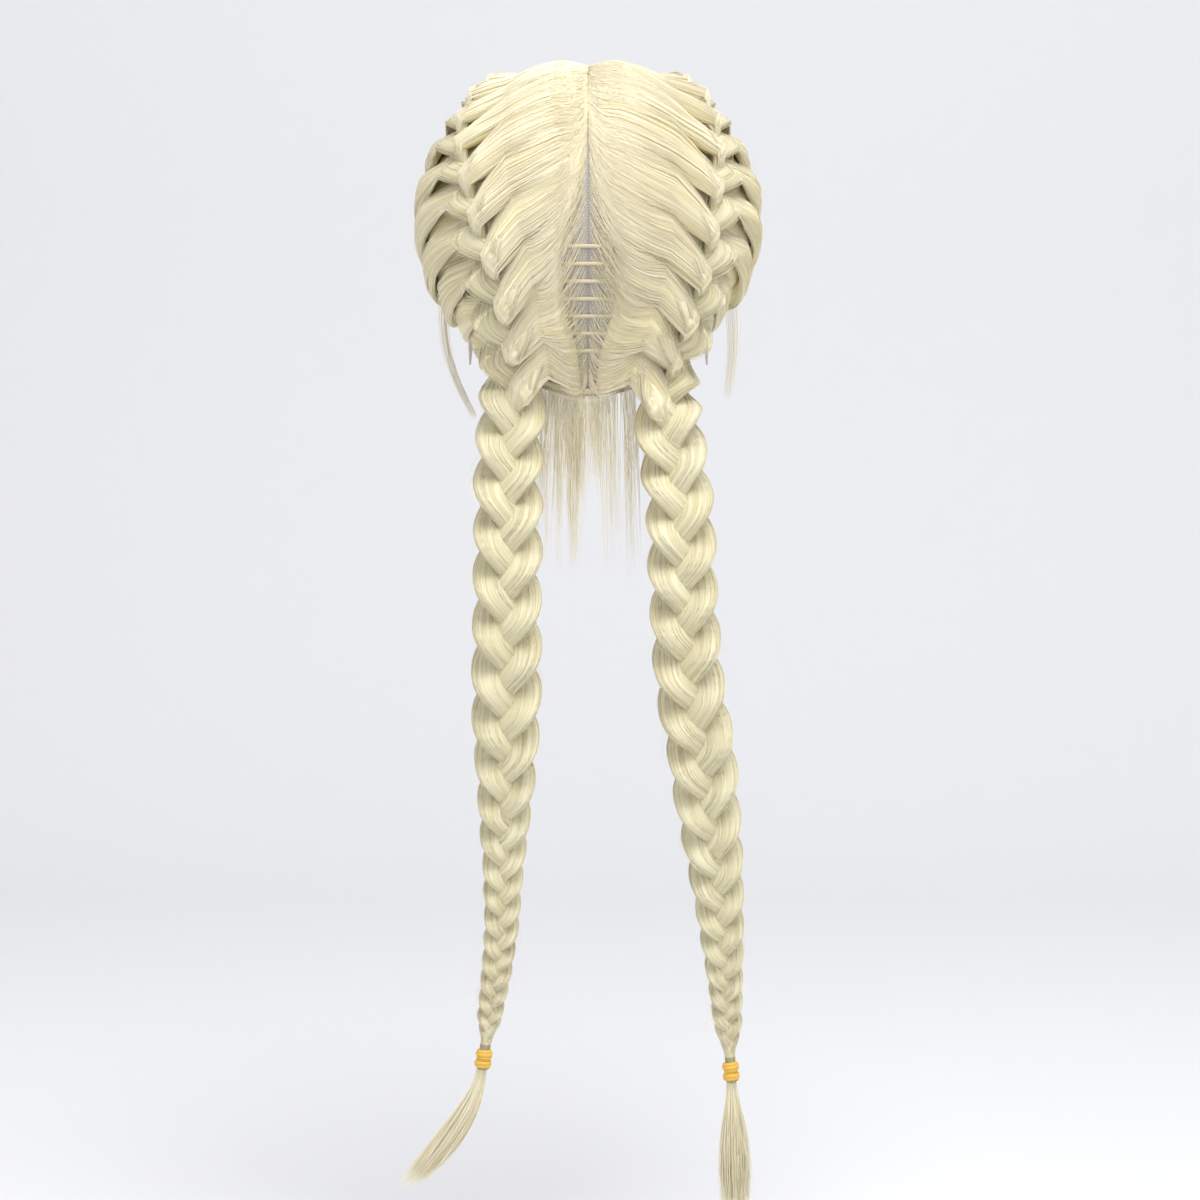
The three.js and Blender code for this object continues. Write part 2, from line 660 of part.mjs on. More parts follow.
// The loose hair under the tie: locks that leave it together and fan out.
function tailSolid(plait) {
  const route = plaitRoute(plait);
  const foot = route.at(1);
  const start = foot.point.clone();
  const bend = start.clone().addScaledVector(foot.along, tail.length * tail.bend);
  const end = start.clone().add(new THREE.Vector3(
    plait.side * plait.tailEnd.side * tail.length, plait.tailEnd.back * tail.length, 0));
  end.z -= tail.length * Math.sqrt(1 - plait.tailEnd.side ** 2);
  const path = new THREE.QuadraticBezierCurve3(start, bend, end);
  const across = new THREE.Vector3(-1, 0, 0);
  const back = new THREE.Vector3(0, 1, 0);
  const locks = tailLocks.map((lock) => tubeSolid(5, 5, (share, side, out) => {
    const open = share ** 0.8;
    const taper = lerp(1, tail.tip, Math.max(0, share - tail.tipStart) / (1 - tail.tipStart));
    const size = lerp(tie.neck / tail.lockHalf, 1, smoothstep(share, 0, 0.3)) * taper;
    const gather = lerp(0.05, 1, open) * tail.halfWidth;
    return path.getPoint(share * lock.reach)
      .addScaledVector(across, lock.across * gather * (1 - tail.narrows * share))
      .addScaledVector(across, side * tail.lockHalf * size)
      .addScaledVector(back, lock.out * gather * tail.flatness + out * tail.lockThick * size);
  }));
  return largest(union(locks).subtract(footRoom(route)));
}

const finishes = {
  hair: new THREE.MeshStandardMaterial({ color: 0xf1e7c4, roughness: 0.45, metalness: 0 }),
  net: new THREE.MeshStandardMaterial({ color: 0xc3b8a6, roughness: 0.9, metalness: 0 }),
  lace: new THREE.MeshStandardMaterial({ color: 0xecd3c6, roughness: 0.85, metalness: 0 }),
  weft: new THREE.MeshStandardMaterial({ color: 0xe6d9ae, roughness: 0.7, metalness: 0 }),
  elastic: new THREE.MeshStandardMaterial({ color: 0xe0ad3e, roughness: 0.4, metalness: 0 }),
};
const wig = new THREE.Group();

function addPiece(name, solid, finish) {
  const mesh = new THREE.Mesh(geometryOf(solid), finish);
  mesh.name = name;
  wig.add(mesh);
}

addPiece('wig_cap', capSolid(0), finishes.net);
addPiece('lace_front', laceSolid(0, lace.thick, 0), finishes.lace);
for (let i = 0; i < weft.count; i += 1) {
  const depth = weft.top + i * weft.pitch;
  addPiece(`weft_${i + 1}`, weftSolid(depth, weft.height, weft.halfLength), finishes.weft);
}
addPiece('nape_hair', napeHairSolid(0), finishes.hair);
const napeRoom = napeHairSolid(clearance);
const laceRoom = laceSolid(-form.front / 4, lace.thick + clearance, clearance);
Object.entries(plaits).forEach(([name, plait]) => {
  addPiece(`crown_hair_${name}`, crownHairSolid(plait, napeRoom), finishes.hair);
  addPiece(`side_hair_${name}`, sideHairSolid(plait, laceRoom), finishes.hair);
  addPiece(`braid_${name}`, largest(plaitSolid(plait, 0)), finishes.hair);
  wig.add(tieMesh(plait, `tie_${name}`));
  addPiece(`tail_${name}`, tailSolid(plait), finishes.hair);
});

export default wig;
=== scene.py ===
import math

import bmesh
import bpy
import numpy as np
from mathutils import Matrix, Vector


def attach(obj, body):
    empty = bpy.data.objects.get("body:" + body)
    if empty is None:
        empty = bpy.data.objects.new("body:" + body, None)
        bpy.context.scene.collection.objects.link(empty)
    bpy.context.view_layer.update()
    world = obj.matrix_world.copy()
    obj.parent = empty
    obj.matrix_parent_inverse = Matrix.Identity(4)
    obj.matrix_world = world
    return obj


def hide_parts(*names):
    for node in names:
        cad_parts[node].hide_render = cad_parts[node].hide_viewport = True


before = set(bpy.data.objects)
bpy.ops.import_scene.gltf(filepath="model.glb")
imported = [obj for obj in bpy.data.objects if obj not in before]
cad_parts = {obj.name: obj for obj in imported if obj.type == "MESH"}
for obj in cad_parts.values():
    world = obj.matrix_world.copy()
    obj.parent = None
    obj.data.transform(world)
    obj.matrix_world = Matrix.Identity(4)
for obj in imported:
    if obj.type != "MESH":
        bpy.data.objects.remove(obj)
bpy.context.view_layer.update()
chance = np.random.default_rng(7)

form = {"halfWidth": 0.076, "front": 0.092, "back": 0.096, "crown": 0.095, "lower": 0.165, "napeTuck": 0.028}
middle = np.array([0.0, 0.0, -form["crown"]])
capDepth = 0.205
netTop, laceTop = 0.0016, 0.001  # lift of the outside of the net and of the lace over the form


# places on the form
def mix(a, b, share):
    return a + (b - a) * share


def ease(value, start, end):
    t = np.clip((value - start) / (end - start), 0, 1)
    return t * t * (3 - 2 * t)


def unit(v):
    return v / np.linalg.norm(v, axis=-1, keepdims=True)


def overTop(turn, spread):  # turn runs over the top from the back, spread out from the parting
    t, s = np.broadcast_arrays(np.radians(turn), np.radians(spread))
    return np.stack([np.sin(s), np.cos(t) * np.cos(s), np.sin(t) * np.cos(s)], -1)


def around(azimuth, elevation):
    a, e = np.broadcast_arrays(np.radians(azimuth), np.radians(elevation))
    return np.stack([np.sin(a) * np.cos(e), np.cos(a) * np.cos(e), np.sin(e)], -1)


def formRadius(d):
    x, y, z = np.moveaxis(d, -1, 0)
    tuck = np.where(z < 0, form["napeTuck"] * z**2, 0)
    depth = np.where(y < 0, form["front"], form["back"] - tuck)
    height = np.where(z < 0, form["lower"], form["crown"])
    return 1 / np.sqrt((x / form["halfWidth"]) ** 2 + (y / depth) ** 2 + (z / height) ** 2)


def onForm(d, lift):
    return middle + d * (formRadius(d) + lift)[..., None]


def smoothRows(rows, t):  # a smooth curve through the rows of a table
    rows = np.asarray(rows, float)
    ends = np.vstack([2 * rows[0] - rows[1], rows, 2 * rows[-1] - rows[-2]])
    t = np.clip(t, 0, len(rows) - 1)
    i = np.minimum(np.floor(t).astype(int), len(rows) - 2)
    u = (t - i)[..., None]
    a, b, c, d = (ends[i + k] for k in range(4))
    return 0.5 * (2 * b + (c - a) * u + (2 * a - 5 * b + 4 * c - d) * u**2 + (3 * b - a - 3 * c + d) * u**3)


# routes of the plaits and their strands
braid = {
    "width": 0.041, "turnLength": 2.12, "swing": 0.222, "flat": 0.1, "depth": 0.14, "lag": 0.6,
    "halfWidth": 0.27, "fullness": 0.12, "halfThick": 0.132, "lean": -0.5,
    "hang": 0.408, "nape": 0.212, "lift": 0.0155, "leavesAt": 0.216,
}
tie = {"height": 0.0132, "neck": 0.0036}
leftSeated = [  # turn, spread, width, lift
    (138, 22, 0.55, 0.6), (122, 28, 0.68, 0.8), (106, 35.5, 0.8, 0.95), (88, 45, 0.88, 1),
    (58, 52.6, 0.92, 1), (25, 49, 0.92, 1), (-3, 41, 0.92, 1), (-21, 33, 0.94, 1),
    (-38, 27.6, 0.96, 1), (-53, 23, 0.98, 1),
]
leftHanging = [  # drop, side, back, width
    (0, 0.62, 0.71, 1), (0.08, 0.645, 0.79, 1), (0.18, 0.65, 0.895, 1), (0.3, 0.655, 0.96, 1),
    (0.44, 0.66, 0.99, 1), (0.56, 0.67, 0.98, 0.85), (0.69, 0.69, 0.96, 0.6), (0.79, 0.71, 0.94, 0.49),
    (0.87, 0.765, 0.92, 0.42), (0.95, 0.83, 0.91, 0.31), (1, 0.868, 0.9, 0.24),
]
rightSeated = [
    (138, 22, 0.55, 0.6), (122, 28, 0.68, 0.8), (106, 35.5, 0.8, 0.95), (86, 46, 0.88, 1), (50, 54, 0.92, 1),
    (15.5, 52, 0.92, 1), (-10, 48.6, 0.92, 1), (-30, 41.8, 0.94, 1), (-45, 33.5, 0.96, 1), (-56, 25, 0.98, 1),
]
rightHanging = [
    (0.01, 0.653, 0.72, 1), (0.09, 0.71, 0.8, 1), (0.165, 0.75, 0.885, 1), (0.315, 0.783, 0.965, 1),
    (0.42, 0.832, 0.985, 1), (0.5, 0.913, 0.985, 1), (0.575, 0.96, 0.98, 0.95), (0.67, 1.026, 0.965, 0.83),
    (0.79, 1.092, 0.94, 0.64), (0.9, 1.132, 0.915, 0.455), (1.02, 1.175, 0.9, 0.3),
]
plaits = {
    "left": {"side": 1, "seated": leftSeated, "hanging": leftHanging, "phase": 0.1, "tailSide": 0.53},
    "right": {"side": -1, "seated": rightSeated, "hanging": rightHanging, "phase": 0.1, "tailSide": 0.03},
}


def layRoute(plait):
    flip = np.array([plait["side"], 1, 1])
    points, guides, widths = [], [], []
    for turn, spread, width, lift in plait["seated"]:
        direction = overTop(turn, spread)
        points.append(onForm(direction, braid["lift"] * lift) * flip)
        guides.append(points[-1] + direction * flip)
        widths.append([width * braid["width"]])
    for drop, side, back, width in plait["hanging"]:
        low = -braid["nape"] - drop * braid["hang"]
        points.append(np.array([side * form["halfWidth"], back * form["back"], low]) * flip)
        guides.append(points[-1] + np.array([0, 1, 0]))
        widths.append([width * braid["width"]])
    t = np.linspace(0, len(points) - 1, 3000)
    centre, guide, width = (smoothRows(rows, t) for rows in (points, guides, widths))
    along = unit(np.gradient(centre, axis=0))
    out = guide - centre
    out = unit(out - along * np.sum(out * along, -1, keepdims=True))
    step = np.linalg.norm(np.diff(centre, axis=0), axis=-1)
    length = np.concatenate([[0], np.cumsum(step)])
    midWidth = (width[1:, 0] + width[:-1, 0]) / 2
    phase = np.concatenate([[0], np.cumsum(step / (braid["turnLength"] * midWidth))])
    end = length[-1] - tie["height"] - tie["neck"]
    opening = ease(end - length, 0, 1.2 * width[:, 0])
    table = np.column_stack([centre, along, out, np.cross(out, along), width[:, 0], opening, length])
    return {"phase": phase, "table": table, "turns": np.interp(end, length, phase), "last": phase[-1]}


def routeAt(plait, phase):
    route = plait["route"]
    rows = np.stack([np.interp(phase, route["phase"], column) for column in route["table"].T], -1)
    names = {"point": slice(0, 3), "along": slice(3, 6), "out": slice(6, 9), "across": slice(9, 12)}
    found = {name: rows[..., part] for name, part in names.items()}
    return found | {"width": rows[..., 12], "open": rows[..., 13], "length": rows[..., 14]}


def strandSection(plait, strand, phase):
    angle = 2 * np.pi * (phase + plait["phase"] + strand / 3)
    flat, swing = braid["flat"], braid["swing"] / (1 - braid["flat"])
    across = swing * (np.sin(angle) + flat * np.sin(3 * angle))
    slope = 2 * np.pi * swing * (np.cos(angle) + 3 * flat * np.cos(3 * angle)) / braid["turnLength"]
    full = 1 - braid["fullness"] * np.cos(2 * angle)  # widest at the edges, drawn in where strands cross
    out = -braid["depth"] * np.sin(2 * angle - braid["lag"])
    halfWidth = braid["halfWidth"] * full * np.hypot(1, 0.7 * slope)
    return across, out, halfWidth, braid["halfThick"] * full, braid["lean"] * np.cos(angle) * halfWidth


def strandPlace(plait, strand, phase, angle, proud=0.0, size=1.0):
    at = routeAt(plait, phase)
    across, out, halfWidth, halfThick, lean = strandSection(plait, strand, phase)
    halfWidth, halfThick, lean = halfWidth * size, halfThick * size, lean * size
    neck = tie["neck"] / at["width"] * 0.9
    wide, high = np.cos(angle), np.sin(angle)
    x = mix(neck * wide, across + halfWidth * wide, at["open"]) * at["width"] + proud * wide
    y = mix(neck * high, out + halfThick * high + lean * wide, at["open"]) * at["width"] + proud * high
    return at["point"] + at["across"] * (plait["side"] * x)[..., None] + at["out"] * y[..., None]


for plait in plaits.values():
    plait["route"] = layRoute(plait)
    height = plait["route"]["table"][:, 2]
    onCap = np.flatnonzero(height > -braid["leavesAt"])
    plait["leaves"] = plait["route"]["phase"][onCap[-1]]
print("plaits laid:", {name: round(plait["route"]["turns"], 2) for name, plait in plaits.items()})


# meshes
def meshOf(name, points, faces, uv=None):
    mesh = bpy.data.meshes.new(name)
    mesh.from_pydata([], [], [])
    sizes = np.concatenate([np.full(len(f), f.shape[1]) for f in faces])
    corners = np.concatenate([f.ravel() for f in faces]).astype(np.int32)
    mesh.vertices.add(len(points))
    mesh.vertices.foreach_set("co", np.asarray(points, np.float32).ravel())
    mesh.loops.add(len(corners))
    mesh.loops.foreach_set("vertex_index", corners)
    mesh.polygons.add(len(sizes))
    mesh.polygons.foreach_set("loop_start", np.concatenate([[0], np.cumsum(sizes)[:-1]]).astype(np.int32))
    mesh.polygons.foreach_set("use_smooth", np.ones(len(sizes), bool))
    if uv is not None:
        layer = mesh.uv_layers.new(name="hairUv")
        layer.data.foreach_set("uv", np.asarray(uv, np.float32)[corners].ravel())
    mesh.update(calc_edges=True)
    mesh.validate()
    return mesh


def closedLoft(rings, uv):  # rings (count, sides, 3), closed round each ring and at both ends
    count, sides = rings.shape[:2]
    index = np.arange(count * sides).reshape(count, sides)
    a, b = index[:-1], index[1:]
    quads = np.stack([a, np.roll(a, -1, 1), np.roll(b, -1, 1), b], -1).reshape(-1, 4)
    first, last = count * sides, count * sides + 1
    caps = np.concatenate([
        np.stack([np.roll(index[0], -1), index[0], np.full(sides, first)], -1),
        np.stack([index[-1], np.roll(index[-1], -1), np.full(sides, last)], -1),
    ])
    points = np.vstack([rings.reshape(-1, 3), rings[0].mean(0), rings[-1].mean(0)])
    uvs = np.vstack([uv.reshape(-1, 2), uv[0].mean(0), uv[-1].mean(0)])
    return points, quads, caps, uvs


def joinLofts(name, lofts):
    points, uvs, quads, caps, start = [], [], [], [], 0
    for rings, uv in lofts:
        p, q, c, u = closedLoft(rings, uv)
        points.append(p)
        uvs.append(u)
        quads.append(q + start)
        caps.append(c + start)
        start += len(p)
    mesh = meshOf(name, np.vstack(points), [np.vstack(quads), np.vstack(caps)], np.vstack(uvs))
    turnOutward(mesh)
    return mesh


def turnOutward(mesh):
    work = bmesh.new()
    work.from_mesh(mesh)
    bmesh.ops.recalc_face_normals(work, faces=work.faces)
    work.to_mesh(mesh)
    work.free()


def place(name, mesh, material, nodes=()):
    obj = bpy.data.objects.new(name, mesh)
    bpy.context.scene.collection.objects.link(obj)
    if material is not None:
        mesh.materials.clear()
        mesh.materials.append(material)
    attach(obj, "root")
    if nodes:
        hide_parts(*nodes)
    print(name, "faces", len(mesh.polygons))


def placeLofts(name, lofts, material, nodes):
    place(name, joinLofts(name, lofts), material, nodes)


# materials
class Value:  # a shader socket that takes part in sums
    def __init__(self, tree, socket):
        self.tree, self.socket = tree, socket

    def sum(self, operation, first, second):
        node = self.tree.nodes.new("ShaderNodeMath")
        node.operation = operation
        for slot, item in zip(node.inputs, (first, second)):
            if isinstance(item, Value):
                self.tree.links.new(item.socket, slot)
            else:
                slot.default_value = item
        return Value(self.tree, node.outputs[0])

    def __add__(self, other):
        return self.sum("ADD", self, other)

    def __radd__(self, other):
        return self.sum("ADD", other, self)

    def __sub__(self, other):
        return self.sum("SUBTRACT", self, other)

    def __rsub__(self, other):
        return self.sum("SUBTRACT", other, self)

    def __mul__(self, other):
        return self.sum("MULTIPLY", self, other)

    def __rmul__(self, other):
        return self.sum("MULTIPLY", other, self)


class Finish:  # a material and its nodes
    def __init__(self, name, **sockets):
        self.material = bpy.data.materials.new(name)
        self.material.use_nodes = True
        self.tree = self.material.node_tree
        self.shader = self.tree.nodes["Principled BSDF"]
        self.give(self.shader, sockets)

    def give(self, node, sockets):
        for name, item in sockets.items():
            socket = node.inputs[name.replace("_", " ")] if isinstance(name, str) else node.inputs[name]
            if isinstance(item, Value):
                self.tree.links.new(item.socket, socket)
            else:
                socket.default_value = item

    def node(self, kind, settings=None, sockets=None, out=0):
        node = self.tree.nodes.new(kind)
        for name, item in (settings or {}).items():
            setattr(node, name, item)
        self.give(node, sockets or {})
        return Value(self.tree, node.outputs[out])

    def colours(self, share, first, second):
        pair = {0: share, 6: (*first, 1), 7: (*second, 1)}
        return self.node("ShaderNodeMix", {"data_type": "RGBA"}, pair, 2)

    def set(self, **sockets):
        self.give(self.shader, sockets)


hairLook = {
    "pale": (0.94, 0.89, 0.63), "gold": (0.7, 0.6, 0.33), "loosePale": (0.95, 0.89, 0.69),
    "looseGold": (0.8, 0.7, 0.45), "roughness": 0.5, "gloss": 0.2,
    "strandsPerMm": 1.3, "clumpsPerMm": 0.4, "contrast": 2.8, "relief": 0.00022,
}


def makeLockHair(name, paintedLight):
    look = hairLook
    finish = Finish(name, Specular_IOR_Level=look["gloss"])
    uv = finish.node("ShaderNodeUVMap", {"uv_map": "hairUv"})
    parts = finish.node("ShaderNodeSeparateXYZ", {}, {0: uv})
    across, along = parts, Value(finish.tree, parts.socket.node.outputs[1])

    def streaks(perMm, run, detail):
        spot = finish.node("ShaderNodeCombineXYZ", {}, {0: across * perMm, 1: along * run})
        grain = {"Vector": spot, "Scale": 1.0, "Detail": detail}
        return finish.node("ShaderNodeTexNoise", {"noise_dimensions": "2D"}, grain)

    fine = streaks(look["strandsPerMm"], 0.02, 2.0)
    clumps = streaks(look["clumpsPerMm"], 0.008, 1.0)
    tone = (fine * 0.6 + clumps * 0.4 - 0.28) * look["contrast"]
    clamped = finish.node("ShaderNodeClamp", {}, {0: tone})
    # the hair's colours are scaled up or down here as painted light or painted shade
    gold, pale = (tuple(paintedLight * part for part in look[key]) for key in ("gold", "pale"))
    finish.set(Base_Color=finish.colours(clamped, gold, pale), Roughness=0.6 - 0.12 * clamped)
    relief = {"Height": fine * 0.6 + clumps * 0.7, "Distance": look["relief"], "Strength": 0.8}
    finish.set(Normal=finish.node("ShaderNodeBump", {}, relief))
    return finish.material


def makeLooseHair(name, paintedLight):
    look = hairLook
    finish = Finish(name, Specular_IOR_Level=look["gloss"], Roughness=look["roughness"])
    tone = finish.node("ShaderNodeAttribute", {"attribute_name": "tone"}, {}, 2)
    # the hair's colours are scaled up or down here as painted light or painted shade
    gold, pale = (tuple(paintedLight * part for part in look[key]) for key in ("looseGold", "loosePale"))
    finish.set(Base_Color=finish.colours(tone, gold, pale))
    return finish.material


# one hair colour in lit and shaded copies: the brighter lock and loose copies (1.04, 1.03) are painted light
# for the top-lit crown, the darker plait copies (0.76, 0.79) are painted shade on the hanging plaits
lockHair, plaitHairPaintedShade = makeLockHair("lockHair", 1.04), makeLockHair("plaitHairPaintedShade", 0.76)
looseHair, plaitLoosePaintedShade = makeLooseHair("looseHair", 1.03), makeLooseHair("plaitLooseHairPaintedShade", 0.79)


# single hairs
def hairTree():  # round tubes along the edges of a mesh, as wide as its radius attribute says
    tree = bpy.data.node_groups.new("hairTubes", "GeometryNodeTree")
    tree.interface.new_socket("Geometry", in_out="INPUT", socket_type="NodeSocketGeometry")
    tree.interface.new_socket("Sides", in_out="INPUT", socket_type="NodeSocketInt").default_value = 3
    tree.interface.new_socket("Material", in_out="INPUT", socket_type="NodeSocketMaterial")
    tree.interface.new_socket("Geometry", in_out="OUTPUT", socket_type="NodeSocketGeometry")
    nodes = {}
    for key, kind in (
        ("start", "NodeGroupInput"), ("curve", "GeometryNodeMeshToCurve"),
        ("ring", "GeometryNodeCurvePrimitiveCircle"), ("radius", "GeometryNodeInputNamedAttribute"),
        ("tube", "GeometryNodeCurveToMesh"),
        ("smooth", "GeometryNodeSetShadeSmooth"), ("real", "GeometryNodeRealizeInstances"),
        ("paint", "GeometryNodeSetMaterial"), ("end", "NodeGroupOutput"),
    ):
        nodes[key] = tree.nodes.new(kind)
    nodes["radius"].inputs["Name"].default_value = "radius"
    nodes["ring"].inputs["Radius"].default_value = 1.0
    nodes["tube"].inputs["Fill Caps"].default_value = True
    for source, out, target, into in (
        ("start", "Geometry", "curve", "Mesh"), ("start", "Sides", "ring", "Resolution"),
        ("curve", "Curve", "tube", "Curve"), ("ring", "Curve", "tube", "Profile Curve"),
        ("radius", "Attribute", "tube", "Scale"), ("tube", "Mesh", "smooth", "Geometry"),
        ("smooth", "Geometry", "real", "Geometry"), ("real", "Geometry", "paint", "Geometry"),
        ("start", "Material", "paint", "Material"), ("paint", "Geometry", "end", "Geometry"),
    ):
        tree.links.new(nodes[source].outputs[out], nodes[target].inputs[into])
    return tree


hairTubes = hairTree()
hairInput = {item.name: item.identifier for item in hairTubes.interface.items_tree if item.in_out == "INPUT"}


def tubesAlong(name, paths, radii, tones, material, sides=3):  # paths (hairs, steps, 3)
    count, steps = paths.shape[:2]
    index = np.arange(count * steps).reshape(count, steps)
    edges = np.stack([index[:, :-1], index[:, 1:]], -1).reshape(-1, 2).astype(np.int32)
    mesh = bpy.data.meshes.new(name)
    mesh.vertices.add(count * steps)
    mesh.vertices.foreach_set("co", paths.astype(np.float32).ravel())
    mesh.edges.add(len(edges))
    mesh.edges.foreach_set("vertices", edges.ravel())
    for key, numbers in (("radius", radii), ("tone", tones)):
        full = np.ascontiguousarray(np.broadcast_to(numbers, (count, steps)), np.float32)
        mesh.attributes.new(key, "FLOAT", "POINT").data.foreach_set("value", full.ravel())
    obj = bpy.data.objects.new(name + "Lines", mesh)
    bpy.context.scene.collection.objects.link(obj)
    modifier = obj.modifiers.new("tubes", "NODES")
    modifier.node_group = hairTubes
    modifier[hairInput["Sides"]] = sides
    modifier[hairInput["Material"]] = material
    depsgraph = bpy.context.evaluated_depsgraph_get()
    result = bpy.data.meshes.new_from_object(obj.evaluated_get(depsgraph), depsgraph=depsgraph)
    result.name = name
    obj.modifiers.remove(modifier)
    bpy.data.objects.remove(obj)
    bpy.data.meshes.remove(mesh)
    return result


def placeHairs(name, paths, radii, tones, material, nodes=()):
    place(name, tubesAlong(name, paths, radii, tones, material), None, nodes)


def taperOf(steps, root, tip):
    share = np.linspace(0, 1, steps)
    return np.minimum(mix(root, 1, np.clip(share / 0.15, 0, 1)), mix(1, tip, ease(share, 0.7, 1)))


def hairRadii(radius, spread, count, taper):  # each hair has a thickness of its own
    return radius * chance.uniform(*spread, count)[:, None] * taper[None, :]


def smoothPaths(controls, steps):  # controls (hairs, points, 3) to paths through them
    count, points = controls.shape[:2]
    t = np.linspace(0, points - 1, steps)
    rows = np.moveaxis(controls, 0, 1).reshape(points, -1)
    return np.moveaxis(smoothRows(rows, t).reshape(steps, count, 3), 0, 1)


strandHair = {
    "sides": 24, "ringsPerTurn": 16, "core": 0.9, "hairs": 1600, "run": 0.42, "steps": 11, "radius": 0.00022,
    "stray": 260, "straySteps": 9, "strayRadius": 0.00011,
}


def plaitStrands(name, plait):
    turns = plait["route"]["last"]
    ringCount = int(turns * strandHair["ringsPerTurn"])
    phase = np.linspace(0, turns, ringCount)[:, None]
    angle = np.linspace(0, 2 * np.pi, strandHair["sides"], endpoint=False)[None, :]
    grid = np.broadcast_to(phase, (ringCount, angle.shape[1]))
    leaves = plait["leaves"]
    core = mix(strandHair["core"], 1, ease(phase, leaves - 0.35, leaves + 0.05))  # slimmer under the locks
    at = routeAt(plait, phase)
    lofts = []
    for strand in range(3):
        rings = strandPlace(plait, strand, grid, angle, 0.0, core)
        girth = angle / (2 * np.pi) * at["width"] * 1300 + 40 * strand
        uv = np.stack(np.broadcast_arrays(girth, at["length"] * 1000), -1)
        lofts.append((rings, uv))
    # the strands take the plait copy of the hair colour, darkened as painted shade
    placeLofts(f"plait_strands_{name}", lofts, plaitHairPaintedShade, [f"braid_{name}"])


def insideOthers(plait, strand, phase, angle):  # where one strand's surface lies inside the other two
    across, out, halfWidth, halfThick, lean = strandSection(plait, strand, phase)
    x, y = across + halfWidth * np.cos(angle), out + halfThick * np.sin(angle) + lean * np.cos(angle)
    hidden = np.zeros(phase.shape, bool)
    for step in (1, 2):
        a, o, w, t, lean = strandSection(plait, strand + step, phase)
        u = (x - a) / w
        hidden |= u**2 + ((y - o - lean * u) / t) ** 2 < 0.97
    return hidden


def plaitHairs(name, plait):
    look = strandHair
    tries = look["hairs"] * 4
    strand = chance.integers(0, 3, tries)
    start = chance.uniform(0.3, plait["route"]["turns"] - 0.1, tries)
    angle = chance.uniform(0, 2 * np.pi, tries)
    shown = np.flatnonzero(~insideOthers(plait, strand, start, angle))[: look["hairs"]]
    strand, start, angle = strand[shown], start[shown], angle[shown]
    share = np.linspace(-0.5, 0.5, look["steps"])[None, :]
    reach = look["run"] * share * chance.uniform(0.6, 1.2, len(shown))[:, None]
    phase = np.clip(start[:, None] + reach, 0, plait["route"]["turns"])
    wander = chance.normal(0, 0.1, len(shown))[:, None] * share
    dip = 0.0006 * (2 * np.abs(share)) ** 4  # both ends sink into the strand
    proud = chance.uniform(0, 0.0003, len(shown))[:, None] - dip
    paths = strandPlace(plait, strand[:, None], phase, angle[:, None] + wander, proud)
    size = routeAt(plait, phase)["width"] / braid["width"]
    radii = look["radius"] * mix(0.5, 1, size) * taperOf(look["steps"], 0.4, 0.3)[None, :]
    tones = chance.beta(3, 1.4, len(shown))[:, None]
    # the hairs take the plait copy of the loose hair colour, darkened as painted shade
    placeHairs(f"plait_hairs_{name}", paths, radii, tones, plaitLoosePaintedShade)


def strayHairs(name, plait):
    count, steps = strandHair["stray"], strandHair["straySteps"]
    strand = chance.integers(0, 3, count)
    start = chance.uniform(1.5, plait["route"]["turns"] - 0.6, count)
    angle = chance.uniform(0, 2 * np.pi, count)
    share = np.linspace(0, 1, steps)[None, :]
    run = chance.uniform(0.25, 0.7, count)[:, None]
    lift = chance.gamma(1.6, 0.0016, count)[:, None] * ease(share, 0, 1)
    phase, turned = start[:, None] + run * share, angle[:, None] + 0.3 * share
    paths = strandPlace(plait, strand[:, None], phase, turned, lift)
    curl = chance.normal(0, 0.0018, (count, 1, 3)) * np.sin(np.pi * share)[..., None]
    radii = strandHair["strayRadius"] * taperOf(steps, 0.8, 0.3)[None, :]
    tones = chance.uniform(0.5, 1, count)[:, None]
    placeHairs(f"plait_stray_hairs_{name}", paths + curl, radii, tones, looseHair)


for name, plait in plaits.items():
    plaitStrands(name, plait)
    plaitHairs(name, plait)
    strayHairs(name, plait)
print("plaits made")

# crown hair
crownLocks = np.array([  # join, root, bend: turns where a lock meets its plait and leaves the parting
    (138, 143, 1), (122, 127, 1), (105, 109, 1), (92, 94, 1), (62, 66, 1), (30, 41, 0.9), (2, 23, 0.8),
    (-16, 6, 0.7), (-33, -17, 0.6), (-48, -38, 0.6), (-58, -52, 0.7), (-66, -61, 0.8),
])
parting = np.array([  # drop as a share of the cap's depth, half gap as a share of the form's half width
    (-0.2, 0.006), (0.2, 0.012), (0.35, 0.08), (0.55, 0.2), (0.72, 0.19), (0.86, 0.06), (1.1, 0.004),
])
crownHair = {
    "seat": 0.003, "rootThick": 0.005, "joinThick": 0.0125, "hairs": 1230, "steps": 14, "radius": 0.00024,
    "lockSides": 22, "lockSteps": 44, "inset": 0.0004,
}
rootHair = {  # climb is how far up the parting a hair starts, in degrees by the turn of its root
    "count": 1620, "steps": 8, "radius": 0.00014, "climb": ((-60, -35, 10, 60, 110), (5, 13, 17, 9, 2)),
}
lobe = {  # how the hair of a lock runs onto its lobe of the plait, in turns of the weave
    "stops": ((0.15, 0.12, 0.15, 0), (0.25, 0.05, 0.55, -0.0003), (0.345, 0.005, 0.95, -0.0045)),
    "tuck": ((0.05, 0.11, 0.1, -0.0008), (0.12, 0.08, 0.4, -0.004), (0.2, 0.03, 0.75, -0.008)),
    "upper": 172, "lower": -6, "tip": 58, "lastRoot": -61, "edge": 0.44, "lowestInner": 0.212,
    "lowestOuter": 0.222,
}


